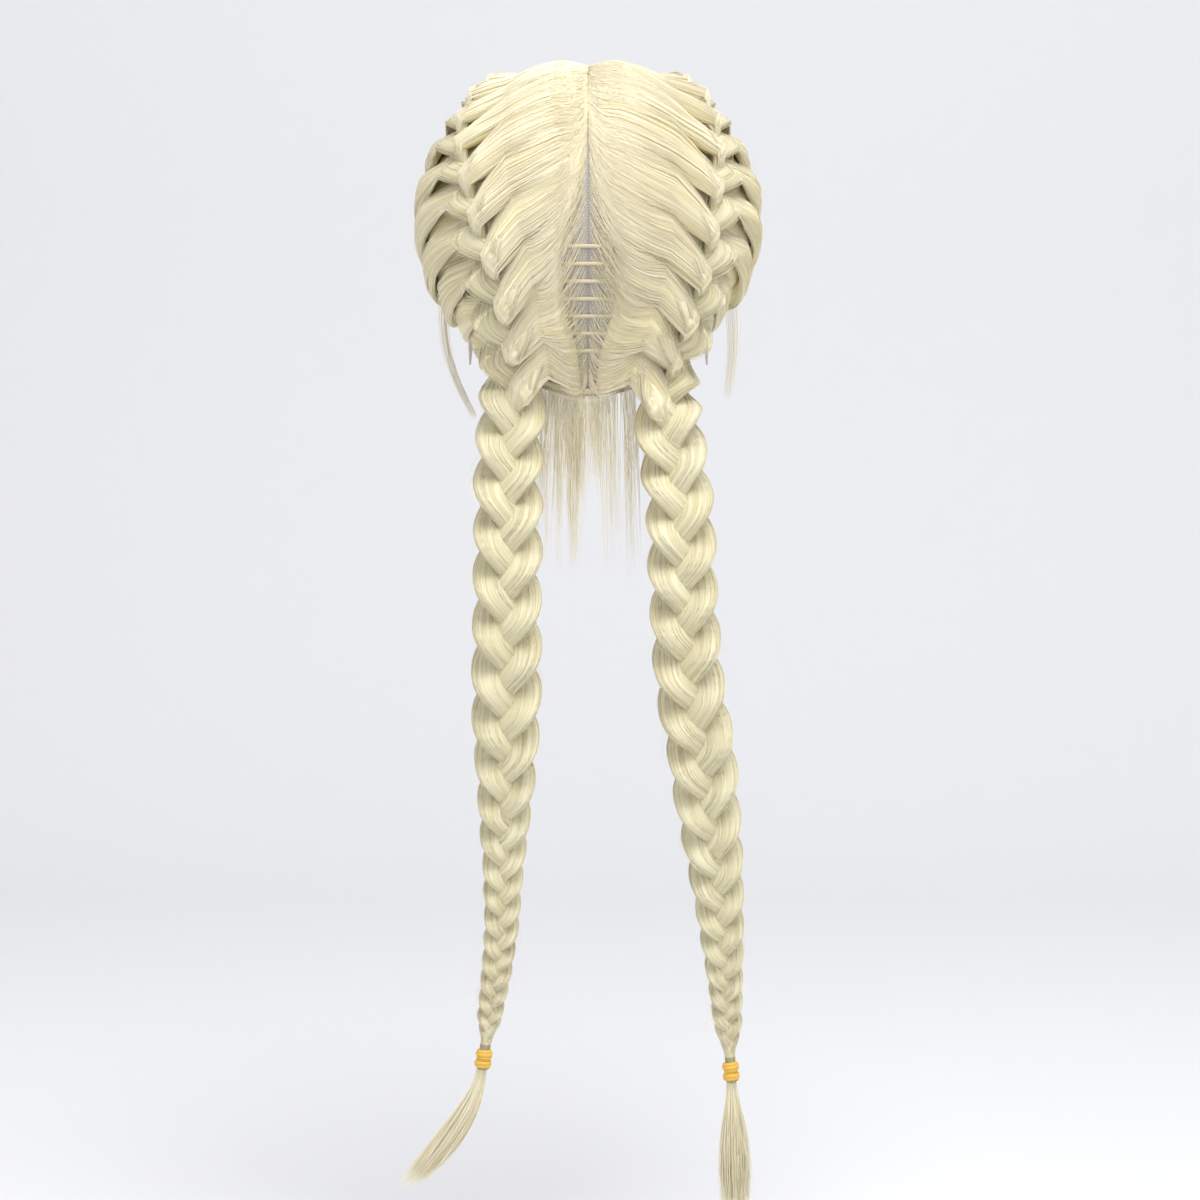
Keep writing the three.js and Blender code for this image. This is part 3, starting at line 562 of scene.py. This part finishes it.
def partingSpread(turn):
    seat = onForm(overTop(turn, 0), np.zeros(np.shape(turn)))
    gap = np.interp(-seat[..., 2] / capDepth, parting[:, 0], parting[:, 1])
    return np.degrees(np.arcsin(gap * form["halfWidth"] / np.linalg.norm(seat - middle, axis=-1)))


def lobeJoins(plait, inner):  # where the strands reach one edge of the plait, down to the nape
    first = (0.25 if inner else 0.75) - plait["phase"]
    lobes = np.arange(-3, 40)
    phase = first + lobes / 3
    keep = (phase > 0.02) & (phase < plait["route"]["turns"])
    phase, lobes = phase[keep], lobes[keep]
    at = routeAt(plait, phase)
    edge = (lobe["edge"] if inner else -lobe["edge"]) * plait["side"]
    spot = at["point"] + at["across"] * (edge * at["width"])[:, None]
    toward = unit(spot - middle)
    seated = spot[:, 2] > -lobe["lowestInner" if inner else "lowestOuter"]
    turn = np.degrees(np.arctan2(toward[:, 2], toward[:, 1]))
    spread = np.degrees(np.arcsin(np.abs(toward[:, 0])))
    rows = np.column_stack([turn, spread, phase, (-lobes) % 3])
    return rows[seated]


def rowsAt(table, row):  # columns of a table at rows between and a little past its ends
    count = len(table)
    low = np.clip(np.floor(row).astype(int), 0, count - 2)
    part = np.asarray(row - low)[..., None]
    return table[low] * (1 - part) + table[low + 1] * part


def ontoLobe(plait, joined, a, inner, proud):  # three points on a strand for hairs at a across their lock
    points = []
    sweep = mix(lobe["upper"], lobe["lower"], (a + 1) / 2)
    sink = 0.0005 * np.clip(-a, 0, 1) if inner else 0  # the upper hairs merge with the strand
    for ahead, spread, gather, dip in lobe["stops" if inner else "tuck"]:  # they close in on the lobe's tip
        angle = np.radians(mix(sweep, lobe["tip"], gather))
        angle = angle if inner else np.pi - angle
        phase = joined[..., 2] + ahead + spread * a
        points.append(strandPlace(plait, joined[..., 3], phase, angle, proud + dip - sink))
    return np.stack(points, -2)


def rootTurn(plait, row, join):  # the last rows run down to the nape edge
    order = crownLocks[::-1]
    count = len(plait["inner"])
    last = ease(row, count - 2.5, count - 0.6)
    return mix(np.interp(join, order[:, 0], order[:, 1]), lobe["lastRoot"], last)


def crownDirection(plait, row, share):
    join = rowsAt(plait["inner"], row)
    turnEnd, spreadEnd = join[..., 0], join[..., 1]
    order = crownLocks[::-1]
    root = rootTurn(plait, row, turnEnd)
    bend = np.interp(turnEnd, order[:, 0], order[:, 2])
    turn = mix(root, turnEnd, np.clip(share, 0, 1.2) ** bend)
    spread = mix(partingSpread(root), spreadEnd, share)
    direction = overTop(turn, spread)
    direction[..., 0] *= plait["side"]
    return direction


def crownLift(a, share):  # each lock lies over the top of the next one, most near the plait
    look = crownHair
    thick = mix(0, look["rootThick"], ease(share, -0.02, 0.3))
    thick = thick + (look["joinThick"] - look["rootThick"]) * np.clip(share, 0, 1) ** 1.8
    rise = 0.35 + 0.65 * np.sin(np.pi / 2 * np.clip((a + 1) / 1.6, 0, 1)) ** 0.9
    edge = np.sqrt(np.clip(1 - (np.clip((a - 0.55) / 0.47, 0, 1)) ** 2, 0.0, 1))
    return look["seat"] + thick * mix(1, rise * edge, 0.9 * ease(share, 0.3, 1.0))


def crownControls(plait, lock, a, share, lift, proud):  # share and lift (hairs, 6)
    # the upper side runs under the next lock
    half = mix(0.58, np.where(a < 0, 0.9, 0.52), ease(share, 0.3, 0.95))
    row = np.minimum(lock + a * half, len(plait["inner"]) - 0.75)
    body = onForm(crownDirection(plait, row, share), lift)
    return np.concatenate([body, ontoLobe(plait, plait["inner"][lock[:, 0]], a[:, 0], True, proud)], 1)


def crownLofts(name, plait):
    look = crownHair
    angle = np.linspace(0, 2 * np.pi, look["lockSides"], endpoint=False)
    a = (np.sign(np.cos(angle)) * np.abs(np.cos(angle)) ** 0.8)[:, None]
    over = np.clip(np.sin(angle), 0, 1)[:, None] ** 0.4
    share = np.broadcast_to(np.linspace(0.07, 0.8, 6), (len(angle), 6))
    lofts = []
    for number in range(len(plait["inner"])):
        lock = np.full(a.shape, number)
        lift = mix(0.0021, crownLift(a, share) - look["inset"], over)
        proud = mix(-0.004, 0.001, over[:, 0])
        rings = smoothPaths(crownControls(plait, lock, a, share, lift, proud), look["lockSteps"])
        run = np.linspace(0, 125, look["lockSteps"])[None, :]
        uv = np.stack(np.broadcast_arrays(a * 13 + 37 * number, run), -1)
        lofts.append((np.swapaxes(rings, 0, 1), np.swapaxes(uv, 0, 1)))
    placeLofts(f"crown_locks_{name}", lofts, lockHair, [f"crown_hair_{name}"])


def flyaway(count, steps, plait):  # most hairs lie close, a few stand off in the middle of their length
    stray = (chance.gamma(0.5, 0.0005, count) * (chance.random(count) < 0.5))[:, None, None]
    bow = np.sin(np.pi * np.linspace(0, 1, steps))[None, :, None] ** 2
    way = unit(chance.normal(0, 0.7, (count, 1, 3)) + np.array([0.5 * plait["side"], 0.5, 0.6]))
    return stray * bow * way


def crownHairs(name, plait):
    look = crownHair
    count = look["hairs"]
    lock = chance.integers(0, len(plait["inner"]), count)[:, None]
    a = chance.uniform(-1, 1, count)[:, None]
    early = chance.random(count) < 0.5
    begin = np.where(early, chance.uniform(-0.02, 0.1, count), chance.uniform(0.05, 0.5, count))[:, None]
    steps = np.linspace(0, 1, 6)[None, :]
    share = begin + (0.8 - begin) * steps
    proud = chance.uniform(-0.0001, 0.0003, count)
    lift = crownLift(a, share) + proud[:, None]
    controls = crownControls(plait, lock, a, share, lift, proud + 0.0013)
    paths = smoothPaths(controls, look["steps"]) + flyaway(count, look["steps"], plait)
    radii = hairRadii(look["radius"], (0.6, 1.1), count, taperOf(look["steps"], 0.45, 0.3))
    tones = chance.beta(3, 1.2, count)[:, None]
    placeHairs(f"crown_hairs_{name}", paths, radii, tones, looseHair)


def rootHairs(name, plait):  # sparse hairs that leave the net close to the middle of the parting
    look = rootHair
    count = look["count"]
    rows = len(plait["inner"])
    row = chance.uniform(-0.5, rows - 0.5, count)[:, None]
    join = rowsAt(plait["inner"], row)
    root = rootTurn(plait, row, join[..., 0])
    gap = partingSpread(root)
    inset = chance.beta(0.9, 1.7, count)[:, None] * gap + 0.05
    reach = chance.uniform(0.25, 0.6, count)[:, None]
    climb = np.interp(root, *look["climb"]) * chance.uniform(0.5, 1.3, count)[:, None]
    flip = np.array([plait["side"], 1, 1])
    lifts = chance.uniform(0, 0.0006, count)[:, None]
    start = onForm(overTop(root + climb, inset), netTop - 0.0004 + 0 * inset) * flip
    nearer = inset + (gap - inset) * 0.35 + 0.5
    near = onForm(overTop(root + climb * 0.45, nearer), netTop + 0.0014 + lifts) * flip
    points = [start, near]
    a = row - np.round(row)
    for part in (0.3, 0.6, 1.0):
        share = reach * part
        lift = crownLift(a / 0.55, share) + 0.0002 + lifts * (1 - part)
        points.append(onForm(crownDirection(plait, row, share), lift))
    paths = smoothPaths(np.concatenate(points, 1), look["steps"])
    radii = hairRadii(look["radius"], (0.6, 1.1), count, taperOf(look["steps"], 0.6, 0.3))
    tones = chance.beta(3, 1.5, count)[:, None]
    placeHairs(f"root_hairs_{name}", paths, radii, tones, looseHair)


for name, plait in plaits.items():
    plait["inner"] = lobeJoins(plait, True)
    plait["outer"] = lobeJoins(plait, False)
    crownLofts(name, plait)
    crownHairs(name, plait)
    rootHairs(name, plait)
print("crown hair made:", {name: len(plait["inner"]) for name, plait in plaits.items()})

# side hair
sideLocks = np.array([  # join, azimuth, elevation, puff, width
    (130, 152, 28, 0.4, 0.8), (106, 141, 19, 0.75, 1), (82, 131, 8, 1, 1), (55, 123, -3, 1.05, 1),
    (26, 115, -12, 1.08, 1), (0, 108, -21, 1.05, 1), (-18, 98, -28, 0.8, 1.05), (-32, 84, -32, 0.55, 1.1),
    (-45, 68, -40, 0.3, 1),
])
sideHair = {
    "seat": 0.0029, "puff": 0.0215, "thick": 0.0075, "climb": 0.0075, "half": 0.0108,
    "lockSides": 20, "lockSteps": 36, "lastTurn": -56, "underRows": 60, "underSteps": 16,
    "hairs": 860, "steps": 14, "radius": 0.00022,
}


def sideRoot(join):  # azimuth, elevation, puff and width where a lock leaves the face hairline
    order = sideLocks[::-1]
    return (np.interp(join[..., 0], order[:, 0], order[:, k]) for k in (1, 2, 3, 4))


def sidePath(plait, lock, share):
    join = plait["outer"][lock]
    azimuth, elevation, puff, width = sideRoot(join)
    root = around(azimuth, elevation)
    end = overTop(join[..., 0], join[..., 1])
    direction = unit(root * (1 - share[..., None]) + end * share[..., None])
    direction[..., 0] *= plait["side"]
    return direction, puff, width


def sideSurface(plait, lock, share, a, out):
    direction, puff, width = sidePath(plait, lock, share)
    ahead, _, _ = sidePath(plait, lock, share + 0.01)
    level = np.zeros(share.shape)
    along = unit(onForm(ahead, level) - onForm(direction, level))
    across = unit(np.cross(direction, along)) * -plait["side"]
    bow = np.sin(np.pi * np.clip(share, 0, 1)) ** 0.8
    half = sideHair["half"] * width * (1.3 - 0.6 * ease(share, 0.1, 0.85))
    spot = onForm(direction, level) + across * (a * half)[..., None]
    curl = 0.5 + 0.5 * out - 0.35 * np.clip(-a, 0, 1) ** 2  # the upper edge tucks under the lock above
    lift = sideHair["seat"] + sideHair["puff"] * puff * bow + sideHair["thick"] * curl
    lift = lift + sideHair["climb"] * ease(share, 0.45, 0.95)
    return onForm(unit(spot - middle), lift)


def sideControls(plait, lock, share, a, out, proud):
    flat = np.broadcast_to(lock, share.shape)
    body = sideSurface(plait, flat, share, a + 0 * share, out + 0 * share)
    return np.concatenate([body, ontoLobe(plait, plait["outer"][lock[:, 0]], a[:, 0], False, proud)], 1)


def sideUnderlay(plait, locks):  # hair that closes the gaps between the locks
    row = np.linspace(0, len(locks) - 1, sideHair["underRows"])[:, None]
    sweep = np.linspace(0, 1, sideHair["underSteps"])[None, :]
    join = rowsAt(plait["outer"], row + 0 * sweep)
    azimuth, elevation, puff, _ = sideRoot(join)
    root, end = around(azimuth, elevation), overTop(join[..., 0], join[..., 1])
    direction = unit(mix(root, end, sweep[..., None] + 0 * root[..., :1]))
    direction[..., 0] *= plait["side"]
    rise = 0.0045 + 0.84 * sideHair["puff"] * puff * np.sin(np.pi * sweep) ** 0.8 + 0.006 * sweep
    upper, under = onForm(direction, rise), onForm(direction, 0.0024 + 0 * rise)
    rings = np.concatenate([upper, under[:, ::-1]], 1)
    run = np.concatenate([sweep, sweep[:, ::-1]], 1) * 70
    return rings, np.stack(np.broadcast_arrays(row * 22, run), -1)


def sideLofts(name, plait):
    angle = np.linspace(0, 2 * np.pi, sideHair["lockSides"], endpoint=False)
    a, out = np.cos(angle)[:, None], np.sin(angle)[:, None]
    share = np.broadcast_to(np.linspace(0.0, 0.8, 6), (len(angle), 6))
    steps = sideHair["lockSteps"]
    lofts = []
    locks = np.flatnonzero(plait["outer"][:, 0] > sideHair["lastTurn"])
    for number in locks:
        lock = np.full(a.shape, number)
        proud = np.where(out[:, 0] >= 0, 0.0003, 0.0003 + 0.004 * out[:, 0])
        rings = smoothPaths(sideControls(plait, lock, share, a * 0.96, out * 0.88, proud), steps)
        run = np.linspace(0, 110, steps)[None, :]
        uv = np.stack(np.broadcast_arrays(angle[:, None] / (2 * np.pi) * 44 + 51 * number, run), -1)
        lofts.append((np.swapaxes(rings, 0, 1), np.swapaxes(uv, 0, 1)))
    lofts.append(sideUnderlay(plait, locks))
    placeLofts(f"side_locks_{name}", lofts, lockHair, [f"side_hair_{name}"])
    return locks


def sideHairs(name, plait, locks):
    look = sideHair
    count = look["hairs"]
    lock = chance.choice(locks, count)[:, None]
    angle = chance.uniform(-0.7, np.pi + 0.7, count)[:, None]
    a, out = np.cos(angle), np.sin(angle) + 0.06
    begin = chance.uniform(0, 0.15, count)[:, None]
    share = begin + (0.8 - begin) * np.linspace(0, 1, 6)[None, :]
    proud = chance.uniform(0.0003, 0.0008, count)
    paths = smoothPaths(sideControls(plait, lock, share, a, out, proud), look["steps"])
    paths = paths + 1.6 * flyaway(count, look["steps"], plait)
    radii = hairRadii(look["radius"], (0.6, 1.1), count, taperOf(look["steps"], 0.45, 0.3))
    tones = chance.beta(3, 1.2, count)[:, None]
    placeHairs(f"side_hairs_{name}", paths, radii, tones, looseHair)


for name, plait in plaits.items():
    sideHairs(name, plait, sideLofts(name, plait))
print("side hair made")

# nape hair, tails and temple wisps
napeHair = {
    "halfLength": 0.033, "drop": 0.113, "count": 700, "steps": 8, "radius": 0.00011, "clumps": 40,
    "root": (0.0595, -0.196), "rim": (0.0576, -0.2075), "strip": (0.0595, -0.1995), "bandHalf": 0.0035,
}
band = {"lift": 0.0023, "halfThick": 0.00045}  # the section of every sewn band


def onBack(x, y, z, lift):  # points of the form toward x, y and z
    x, y, z, lift = np.broadcast_arrays(x, y, z, lift)
    return onForm(unit(np.column_stack([x, y, z]) - middle), lift)


def napeHairs():
    look = napeHair
    count = look["count"]
    clump = chance.integers(0, look["clumps"], count)
    seat = chance.uniform(-0.9, 0.9, look["clumps"])[clump]
    x = (seat + chance.normal(0, 0.09, count)) * look["halfLength"]
    long = chance.random(look["clumps"]) < 0.3
    longest = np.where(long, 1.0, chance.uniform(0.45, 0.7, look["clumps"]))[clump]
    reach = longest * chance.beta(4, 1.4, count)
    gather = (seat * look["halfLength"] - x) * 0.6  # hairs of a clump close in on its middle
    lean = gather + chance.normal(0, 0.0025, look["clumps"])[clump] - 0.1 * np.clip(-x - 0.015, 0, 1)
    root, rim = onBack(x, *look["root"], 0.0024), onBack(x, *look["rim"], 0.0026)
    bow = chance.normal(0, 0.0015, count)
    back = rim[:, 1] + chance.normal(0.001, 0.002, count)
    tip = np.column_stack([x + lean, back, -capDepth - look["drop"] * reach])
    half = (rim + tip) / 2 + np.column_stack([bow * 0.5, bow, 0 * bow])
    paths = smoothPaths(np.stack([root, rim, half, tip], 1), look["steps"])
    radii = hairRadii(look["radius"], (0.7, 1.2), count, taperOf(look["steps"], 0.9, 0.35))
    tones = chance.beta(3, 1.6, count)[:, None]
    placeHairs("nape_hairs", paths, radii, tones, looseHair)


def napeStrip():
    across = np.linspace(-1, 1, 40) * napeHair["halfLength"]
    angle = np.linspace(0, 2 * np.pi, 12, endpoint=False)
    y, z = napeHair["strip"]
    high = z + napeHair["bandHalf"] * np.sin(angle)
    lift = band["lift"] + band["halfThick"] * np.cos(angle)
    rings = np.array([onBack(x, y, high, lift) for x in across])
    uv = np.stack(np.meshgrid(angle * 2, across * 1000), -1)
    # the band takes the plait copy of the hair colour, darkened as painted shade, as if in the shadow under
    # the plaits
    placeLofts("nape_weft", [(rings, uv)], plaitHairPaintedShade, ["nape_hair"])


napeStrip()
napeHairs()

tail = {
    "length": 0.086, "halfWidth": 0.013, "flat": 0.55, "narrows": 0.62,
    "count": 480, "steps": 10, "radius": 0.0002,
}


def tailHairs(name, plait):
    look = tail
    count = look["count"]
    foot = routeAt(plait, plait["route"]["last"])
    start = foot["point"]
    bend = start + foot["along"] * look["length"] * 0.35
    lean = plait["tailSide"]
    end = start + np.array([plait["side"] * lean, 0.05, -math.sqrt(1 - lean**2)]) * look["length"]
    share = np.linspace(0, 1, look["steps"])[None, :, None]
    reach = chance.beta(3, 1.2, count)[:, None, None] * 0.35 + 0.65
    t = share * reach
    middlePath = start * (1 - t) ** 2 + bend * 2 * t * (1 - t) + end * t**2
    turn = chance.uniform(0, 2 * np.pi, count)[:, None, None]
    far = np.sqrt(chance.random(count))[:, None, None]
    fan = mix(tie["neck"] * 0.9, look["halfWidth"] * mix(1, look["narrows"], t), ease(t, 0, 0.75)) * far
    paths = middlePath + fan * np.concatenate([-np.cos(turn), look["flat"] * np.sin(turn), 0 * turn], -1)
    paths = paths + chance.normal(0, 0.0014, (count, 1, 3)) * share**2
    radii = hairRadii(look["radius"], (0.7, 1.2), count, taperOf(look["steps"], 1, 0.3))
    tones = chance.beta(3, 1.5, count)[:, None]
    placeHairs(f"tail_hairs_{name}", paths, radii, tones, looseHair, [f"tail_{name}"])


for name, plait in plaits.items():
    tailHairs(name, plait)

wisps = {  # the middle of each wisp at the temple, from the cap down
    "left": (
        (0.088, -0.03, -0.128), (0.0925, -0.028, -0.15), (0.0905, -0.022, -0.175), (0.083, -0.016, -0.197),
        (0.073, -0.01, -0.217),
    ),
    "right": (
        (-0.086, -0.03, -0.128), (-0.0905, -0.028, -0.145), (-0.0925, -0.026, -0.165),
        (-0.0915, -0.022, -0.185), (-0.089, -0.02, -0.206),
    ),
}
wispHair = {"count": 26, "steps": 10, "radius": 0.00013, "spread": (0.0022, 0.0035, 0.002)}


def templeWisp(name, line):
    count, steps = wispHair["count"], wispHair["steps"]
    base = smoothRows(line, np.linspace(0, len(line) - 1, steps))[None]
    spread = chance.normal(0, 1, (count, 1, 3)) * np.array(wispHair["spread"])
    paths = base + spread * mix(1.2, 0.7, np.linspace(0, 1, steps))[None, :, None]
    radii = wispHair["radius"] * taperOf(steps, 0.8, 0.4)[None, :]
    tones = chance.uniform(0.5, 1, count)[:, None]
    placeHairs(f"temple_wisp_{name}", paths, radii, tones, looseHair)


for name, line in wisps.items():
    templeWisp(name, line)
print("nape, tails and wisps made")

# net, lace, wefts and ties
def outlineOf(rows, steps=14):  # an outline seen from the side, as y and z
    rows = np.array(rows, float)
    reach = np.where(rows[:, 0] > 0, form["front"], form["back"])
    points = np.column_stack([-rows[:, 0] * reach, -rows[:, 1] * capDepth])
    return points if steps is None else smoothRows(points, np.linspace(0, len(rows) - 1, steps))


hairline = ((1.3, 0.17), (0.85, 0.215), (0.7, 0.4), (0.52, 0.58), (0.34, 0.78))
laceSeam = ((0.85, -0.12), (0.655, 0.112), (0.5, 0.33), (0.3, 0.49), (0.06, 0.56))
tabBack = ((0.17, 0.8), (0.1, 0.68))
earEdge = ((-0.1, 0.54), (-0.26, 0.59), (-0.33, 0.73), (-0.4, 0.88), (-0.56, 0.97))
tab = {"tip": 0.24, "drop": 0.187, "flare": 0.015, "flareFrom": 0.118}


def within(outline, y, z):  # even-odd count of the outline's edges above each point
    count = np.zeros(y.shape, int)
    for (ay, az), (by, bz) in zip(outline, np.roll(outline, -1, 0)):
        if ay != by:
            count += ((ay > y) != (by > y)) & (z < (bz - az) * (y - ay) / (by - ay) + az)
    return count % 2 == 1


def flared(points):
    fall = np.clip((-points[..., 2] - tab["flareFrom"]) / (tab["drop"] - tab["flareFrom"]), 0, None)
    points[..., 0] += np.sign(points[..., 0]) * tab["flare"] * fall**1.5
    return points


def shellPatch(outline, azimuths, rows, lifts, spreadOut):  # a wall on the form inside an outline
    elevation = np.linspace(89.9, -78, 700)
    found = []
    for azimuth in azimuths:
        points = onForm(around(azimuth, elevation), np.zeros(700))
        inside = np.flatnonzero(within(outline, points[:, 1], points[:, 2]))
        if len(inside) > 3:
            gaps = np.flatnonzero(np.diff(inside) > 1)
            last = inside[gaps[0]] if len(gaps) else inside[-1]
            found.append((azimuth, elevation[inside[0]], elevation[last]))
    found = np.array(found)
    share = np.linspace(0, 1, rows)[None, :]
    height = mix(found[:, 1:2], found[:, 2:3], share)
    direction = around(found[:, 0:1], height)
    outer, inner = (onForm(direction, np.full(height.shape, lift)) for lift in lifts)
    rings = np.concatenate([outer, inner[:, ::-1]], 1)
    uv = np.stack([np.broadcast_to(found[:, 0:1] * 1.5, height.shape), height * 1.5], -1)
    return (flared(rings) if spreadOut else rings), np.concatenate([uv, uv[:, ::-1]], 1)


def makeMeshCloth(name, thread, gap, pitch, roughness, alpha=1.0):
    finish = Finish(name, Roughness=roughness, Alpha=alpha, Specular_IOR_Level=0.15)
    uv = finish.node("ShaderNodeUVMap", {"uv_map": "hairUv"})
    across = finish.node("ShaderNodeSeparateXYZ", {}, {0: uv})
    down = Value(finish.tree, across.socket.node.outputs[1])

    def threads(slant):
        wave = finish.node("ShaderNodeMath", {"operation": "SINE"}, {0: slant * (2 * math.pi / pitch)})
        return finish.node("ShaderNodeClamp", {}, {0: (wave - 0.1) * 2.2})

    slants = {0: threads(across + down), 1: threads(across - down)}  # two slanted sets of threads
    weave = finish.node("ShaderNodeMath", {"operation": "MAXIMUM"}, slants)
    finish.set(Base_Color=finish.colours(weave, gap, thread))
    relief = {"Height": weave, "Distance": 0.0003, "Strength": 0.7}
    finish.set(Normal=finish.node("ShaderNodeBump", {}, relief))
    return finish.material


netCloth = makeMeshCloth("netCloth", (0.52, 0.48, 0.43), (0.33, 0.3, 0.265), 1.6, 0.85)
laceCloth = makeMeshCloth("laceCloth", (0.93, 0.8, 0.74), (0.84, 0.69, 0.65), 1.1, 0.8, 0.72)


def makeCap():
    seam = outlineOf(laceSeam)
    backRim = [(form["back"] * 0.62, -capDepth), (1, -capDepth), (1, 1), (seam[0, 0], 1)]
    outline = np.vstack([seam, outlineOf(earEdge), backRim])
    patch = shellPatch(outline, np.linspace(0, 360, 145), 40, (netTop, 0.0), False)
    placeLofts("cap_net", [patch], netCloth, ["wig_cap"])


def makeLace():
    seam, line = outlineOf(laceSeam), outlineOf(hairline)
    outline = np.vstack([
        [(seam[0, 0], 1), (-1, 1), (-1, line[0, 1])], line, [(-tab["tip"] * form["front"], -tab["drop"])],
        outlineOf(tabBack, None), seam[::-1],
    ])
    patch = shellPatch(outline, np.linspace(60, 300, 201), 26, (laceTop, 0.0), True)
    placeLofts("lace_edge", [patch], laceCloth, ["lace_front"])


weft = {
    "count": 7, "top": 0.109, "pitch": 0.0107, "height": 0.0022, "halfLength": 0.026, "thread": 0.00028,
    "stitches": 34, "rows": 30,
}


def makeWefts():
    cloth = Finish("weftThread", Base_Color=(0.68, 0.6, 0.41, 1), Roughness=0.7, Sheen_Weight=0.2).material
    lofts, stitching = [], []
    for number in range(weft["count"]):
        depth = weft["top"] + number * weft["pitch"] + weft["height"] / 2
        x = np.linspace(-1, 1, weft["rows"])[:, None] * weft["halfLength"]
        angle = np.linspace(0, 2 * np.pi, 10, endpoint=False)[None, :]
        y = 0.09 + 0 * angle
        z = -depth + weft["height"] / 2 * np.sin(angle)
        for _ in range(6):  # settles y so that the band keeps its depth
            direction = unit(np.stack(np.broadcast_arrays(x, y, z), -1) - middle)
            y = onForm(direction, np.full(direction.shape[:2], 0.0024))[..., 1]
        rings = onForm(direction, band["lift"] + band["halfThick"] * np.cos(angle) + 0 * x)
        lofts.append((rings, np.stack(np.broadcast_arrays(angle * 2, x * 1000), -1)))
        t = np.linspace(0, 1, weft["stitches"] * 8)
        wind = t * weft["stitches"] * 2 * np.pi
        spine = smoothRows(rings.mean(1), t * (weft["rows"] - 1))
        rise = np.array([0, 0, 1]) * (weft["height"] / 2 * np.sin(wind))[:, None]
        stitching.append(spine + unit(spine - middle) * (0.0006 * np.cos(wind))[:, None] + rise)
    placeLofts("weft_bands", lofts, cloth, [f"weft_{k + 1}" for k in range(weft["count"])])
    paths = np.array(stitching)
    mesh = tubesAlong("weft_stitches", paths, np.full((1, 1), weft["thread"]), np.ones((1, 1)), cloth, 4)
    place("weft_stitches", mesh, None, ())


wrap = {"turns": 6, "radius": 0.0013, "profile": (0.0033, 0.0041, 0.004, 0.0027, 0.004, 0.0041, 0.0034)}


def makeTies():
    elastic = Finish("elasticTie", Base_Color=(0.78, 0.47, 0.07, 1), Roughness=0.35).material
    for name, plait in plaits.items():
        foot = routeAt(plait, plait["route"]["last"])
        t = np.linspace(0, 1, wrap["turns"] * 16)
        radius = smoothRows(np.array(wrap["profile"])[:, None], t * (len(wrap["profile"]) - 1))
        wind = (t * wrap["turns"] * 2 * np.pi)[:, None]
        rise = mix(tie["height"] - wrap["radius"], wrap["radius"], t)[:, None]
        centre = foot["point"] - foot["along"] * rise
        path = centre + radius * (foot["across"] * np.cos(wind) + foot["out"] * np.sin(wind))
        thick = np.full((1, 1), wrap["radius"])
        mesh = tubesAlong(f"elastic_{name}", path[None], thick, np.ones((1, 1)), elastic, 10)
        place(f"elastic_{name}", mesh, None, [f"tie_{name}"])


makeCap()
makeLace()
makeWefts()
makeTies()
print("net, lace, wefts and ties made")

# stage, camera and light
stage = {
    "floor": -0.76, "front": 3.2, "back": -1.4, "bend": 0.7, "top": 3.5, "halfWidth": 5.0,
    "colour": (0.813, 0.817, 0.831),
}


def makeStage():
    floor, back, bend, half = (stage[key] for key in ("floor", "back", "bend", "halfWidth"))
    profile = [(stage["front"], floor)]
    for t in np.linspace(0, np.pi / 2, 12):
        profile.append((back - bend * math.sin(t), floor + bend * (1 - math.cos(t))))
    profile.append((back - bend, stage["top"]))
    points = np.array([(x, y, z) for y, z in profile for x in (-half, half)])
    index = np.arange(len(points)).reshape(-1, 2)
    quads = np.stack([index[:-1, 0], index[:-1, 1], index[1:, 1], index[1:, 0]], -1)
    mesh = meshOf("backdrop", points, [quads])
    finish = Finish("backdropPaper", Base_Color=(*stage["colour"], 1), Roughness=0.9, Specular_IOR_Level=0.1)
    mesh.materials.append(finish.material)
    obj = bpy.data.objects.new("backdrop", mesh)
    bpy.context.scene.collection.objects.link(obj)


view = {"target": (-0.0074, 0.07, -0.3286), "elevation": 5.0, "distance": 2.4, "width": 0.744}


def makeCamera():
    lens = bpy.data.cameras.new("camera")
    camera = bpy.data.objects.new("camera", lens)
    bpy.context.scene.collection.objects.link(camera)
    rise = math.radians(view["elevation"])
    target = Vector(view["target"])
    camera.location = target + view["distance"] * Vector((0, math.cos(rise), math.sin(rise)))
    camera.rotation_euler = (target - camera.location).to_track_quat("-Z", "Y").to_euler()
    lens.angle = 2 * math.atan(view["width"] / 2 / view["distance"])
    lens.clip_end = 50
    bpy.context.scene.camera = camera


lights = {  # place, size and power
    "keyLight": ((-0.3, 2.3, 1.5), 1.9, 13), "fillLight": ((-1.7, 1.6, 0.5), 1.4, 5.5),
    "sideLight": ((1.7, 1.6, 0.5), 1.4, 5), "topLight": ((-0.35, 0.9, 1.9), 1.6, 47),
}


def addLight(name, spot, size, power):
    lamp = bpy.data.lights.new(name, "AREA")
    lamp.shape = "DISK"
    lamp.size = size
    lamp.energy = power
    obj = bpy.data.objects.new(name, lamp)
    bpy.context.scene.collection.objects.link(obj)
    obj.location = spot
    obj.rotation_euler = (Vector((0, 0, -0.3)) - obj.location).to_track_quat("-Z", "Y").to_euler()


makeStage()
makeCamera()
for name, (spot, size, power) in lights.items():
    addLight(name, spot, size, power)
world = bpy.data.worlds.new("studio")
bpy.context.scene.world = world
world.use_nodes = True
world.node_tree.nodes["Background"].inputs["Color"].default_value = (0.97, 0.97, 1, 1)
world.node_tree.nodes["Background"].inputs["Strength"].default_value = 0.6
bpy.context.scene.view_settings.view_transform = "Standard"
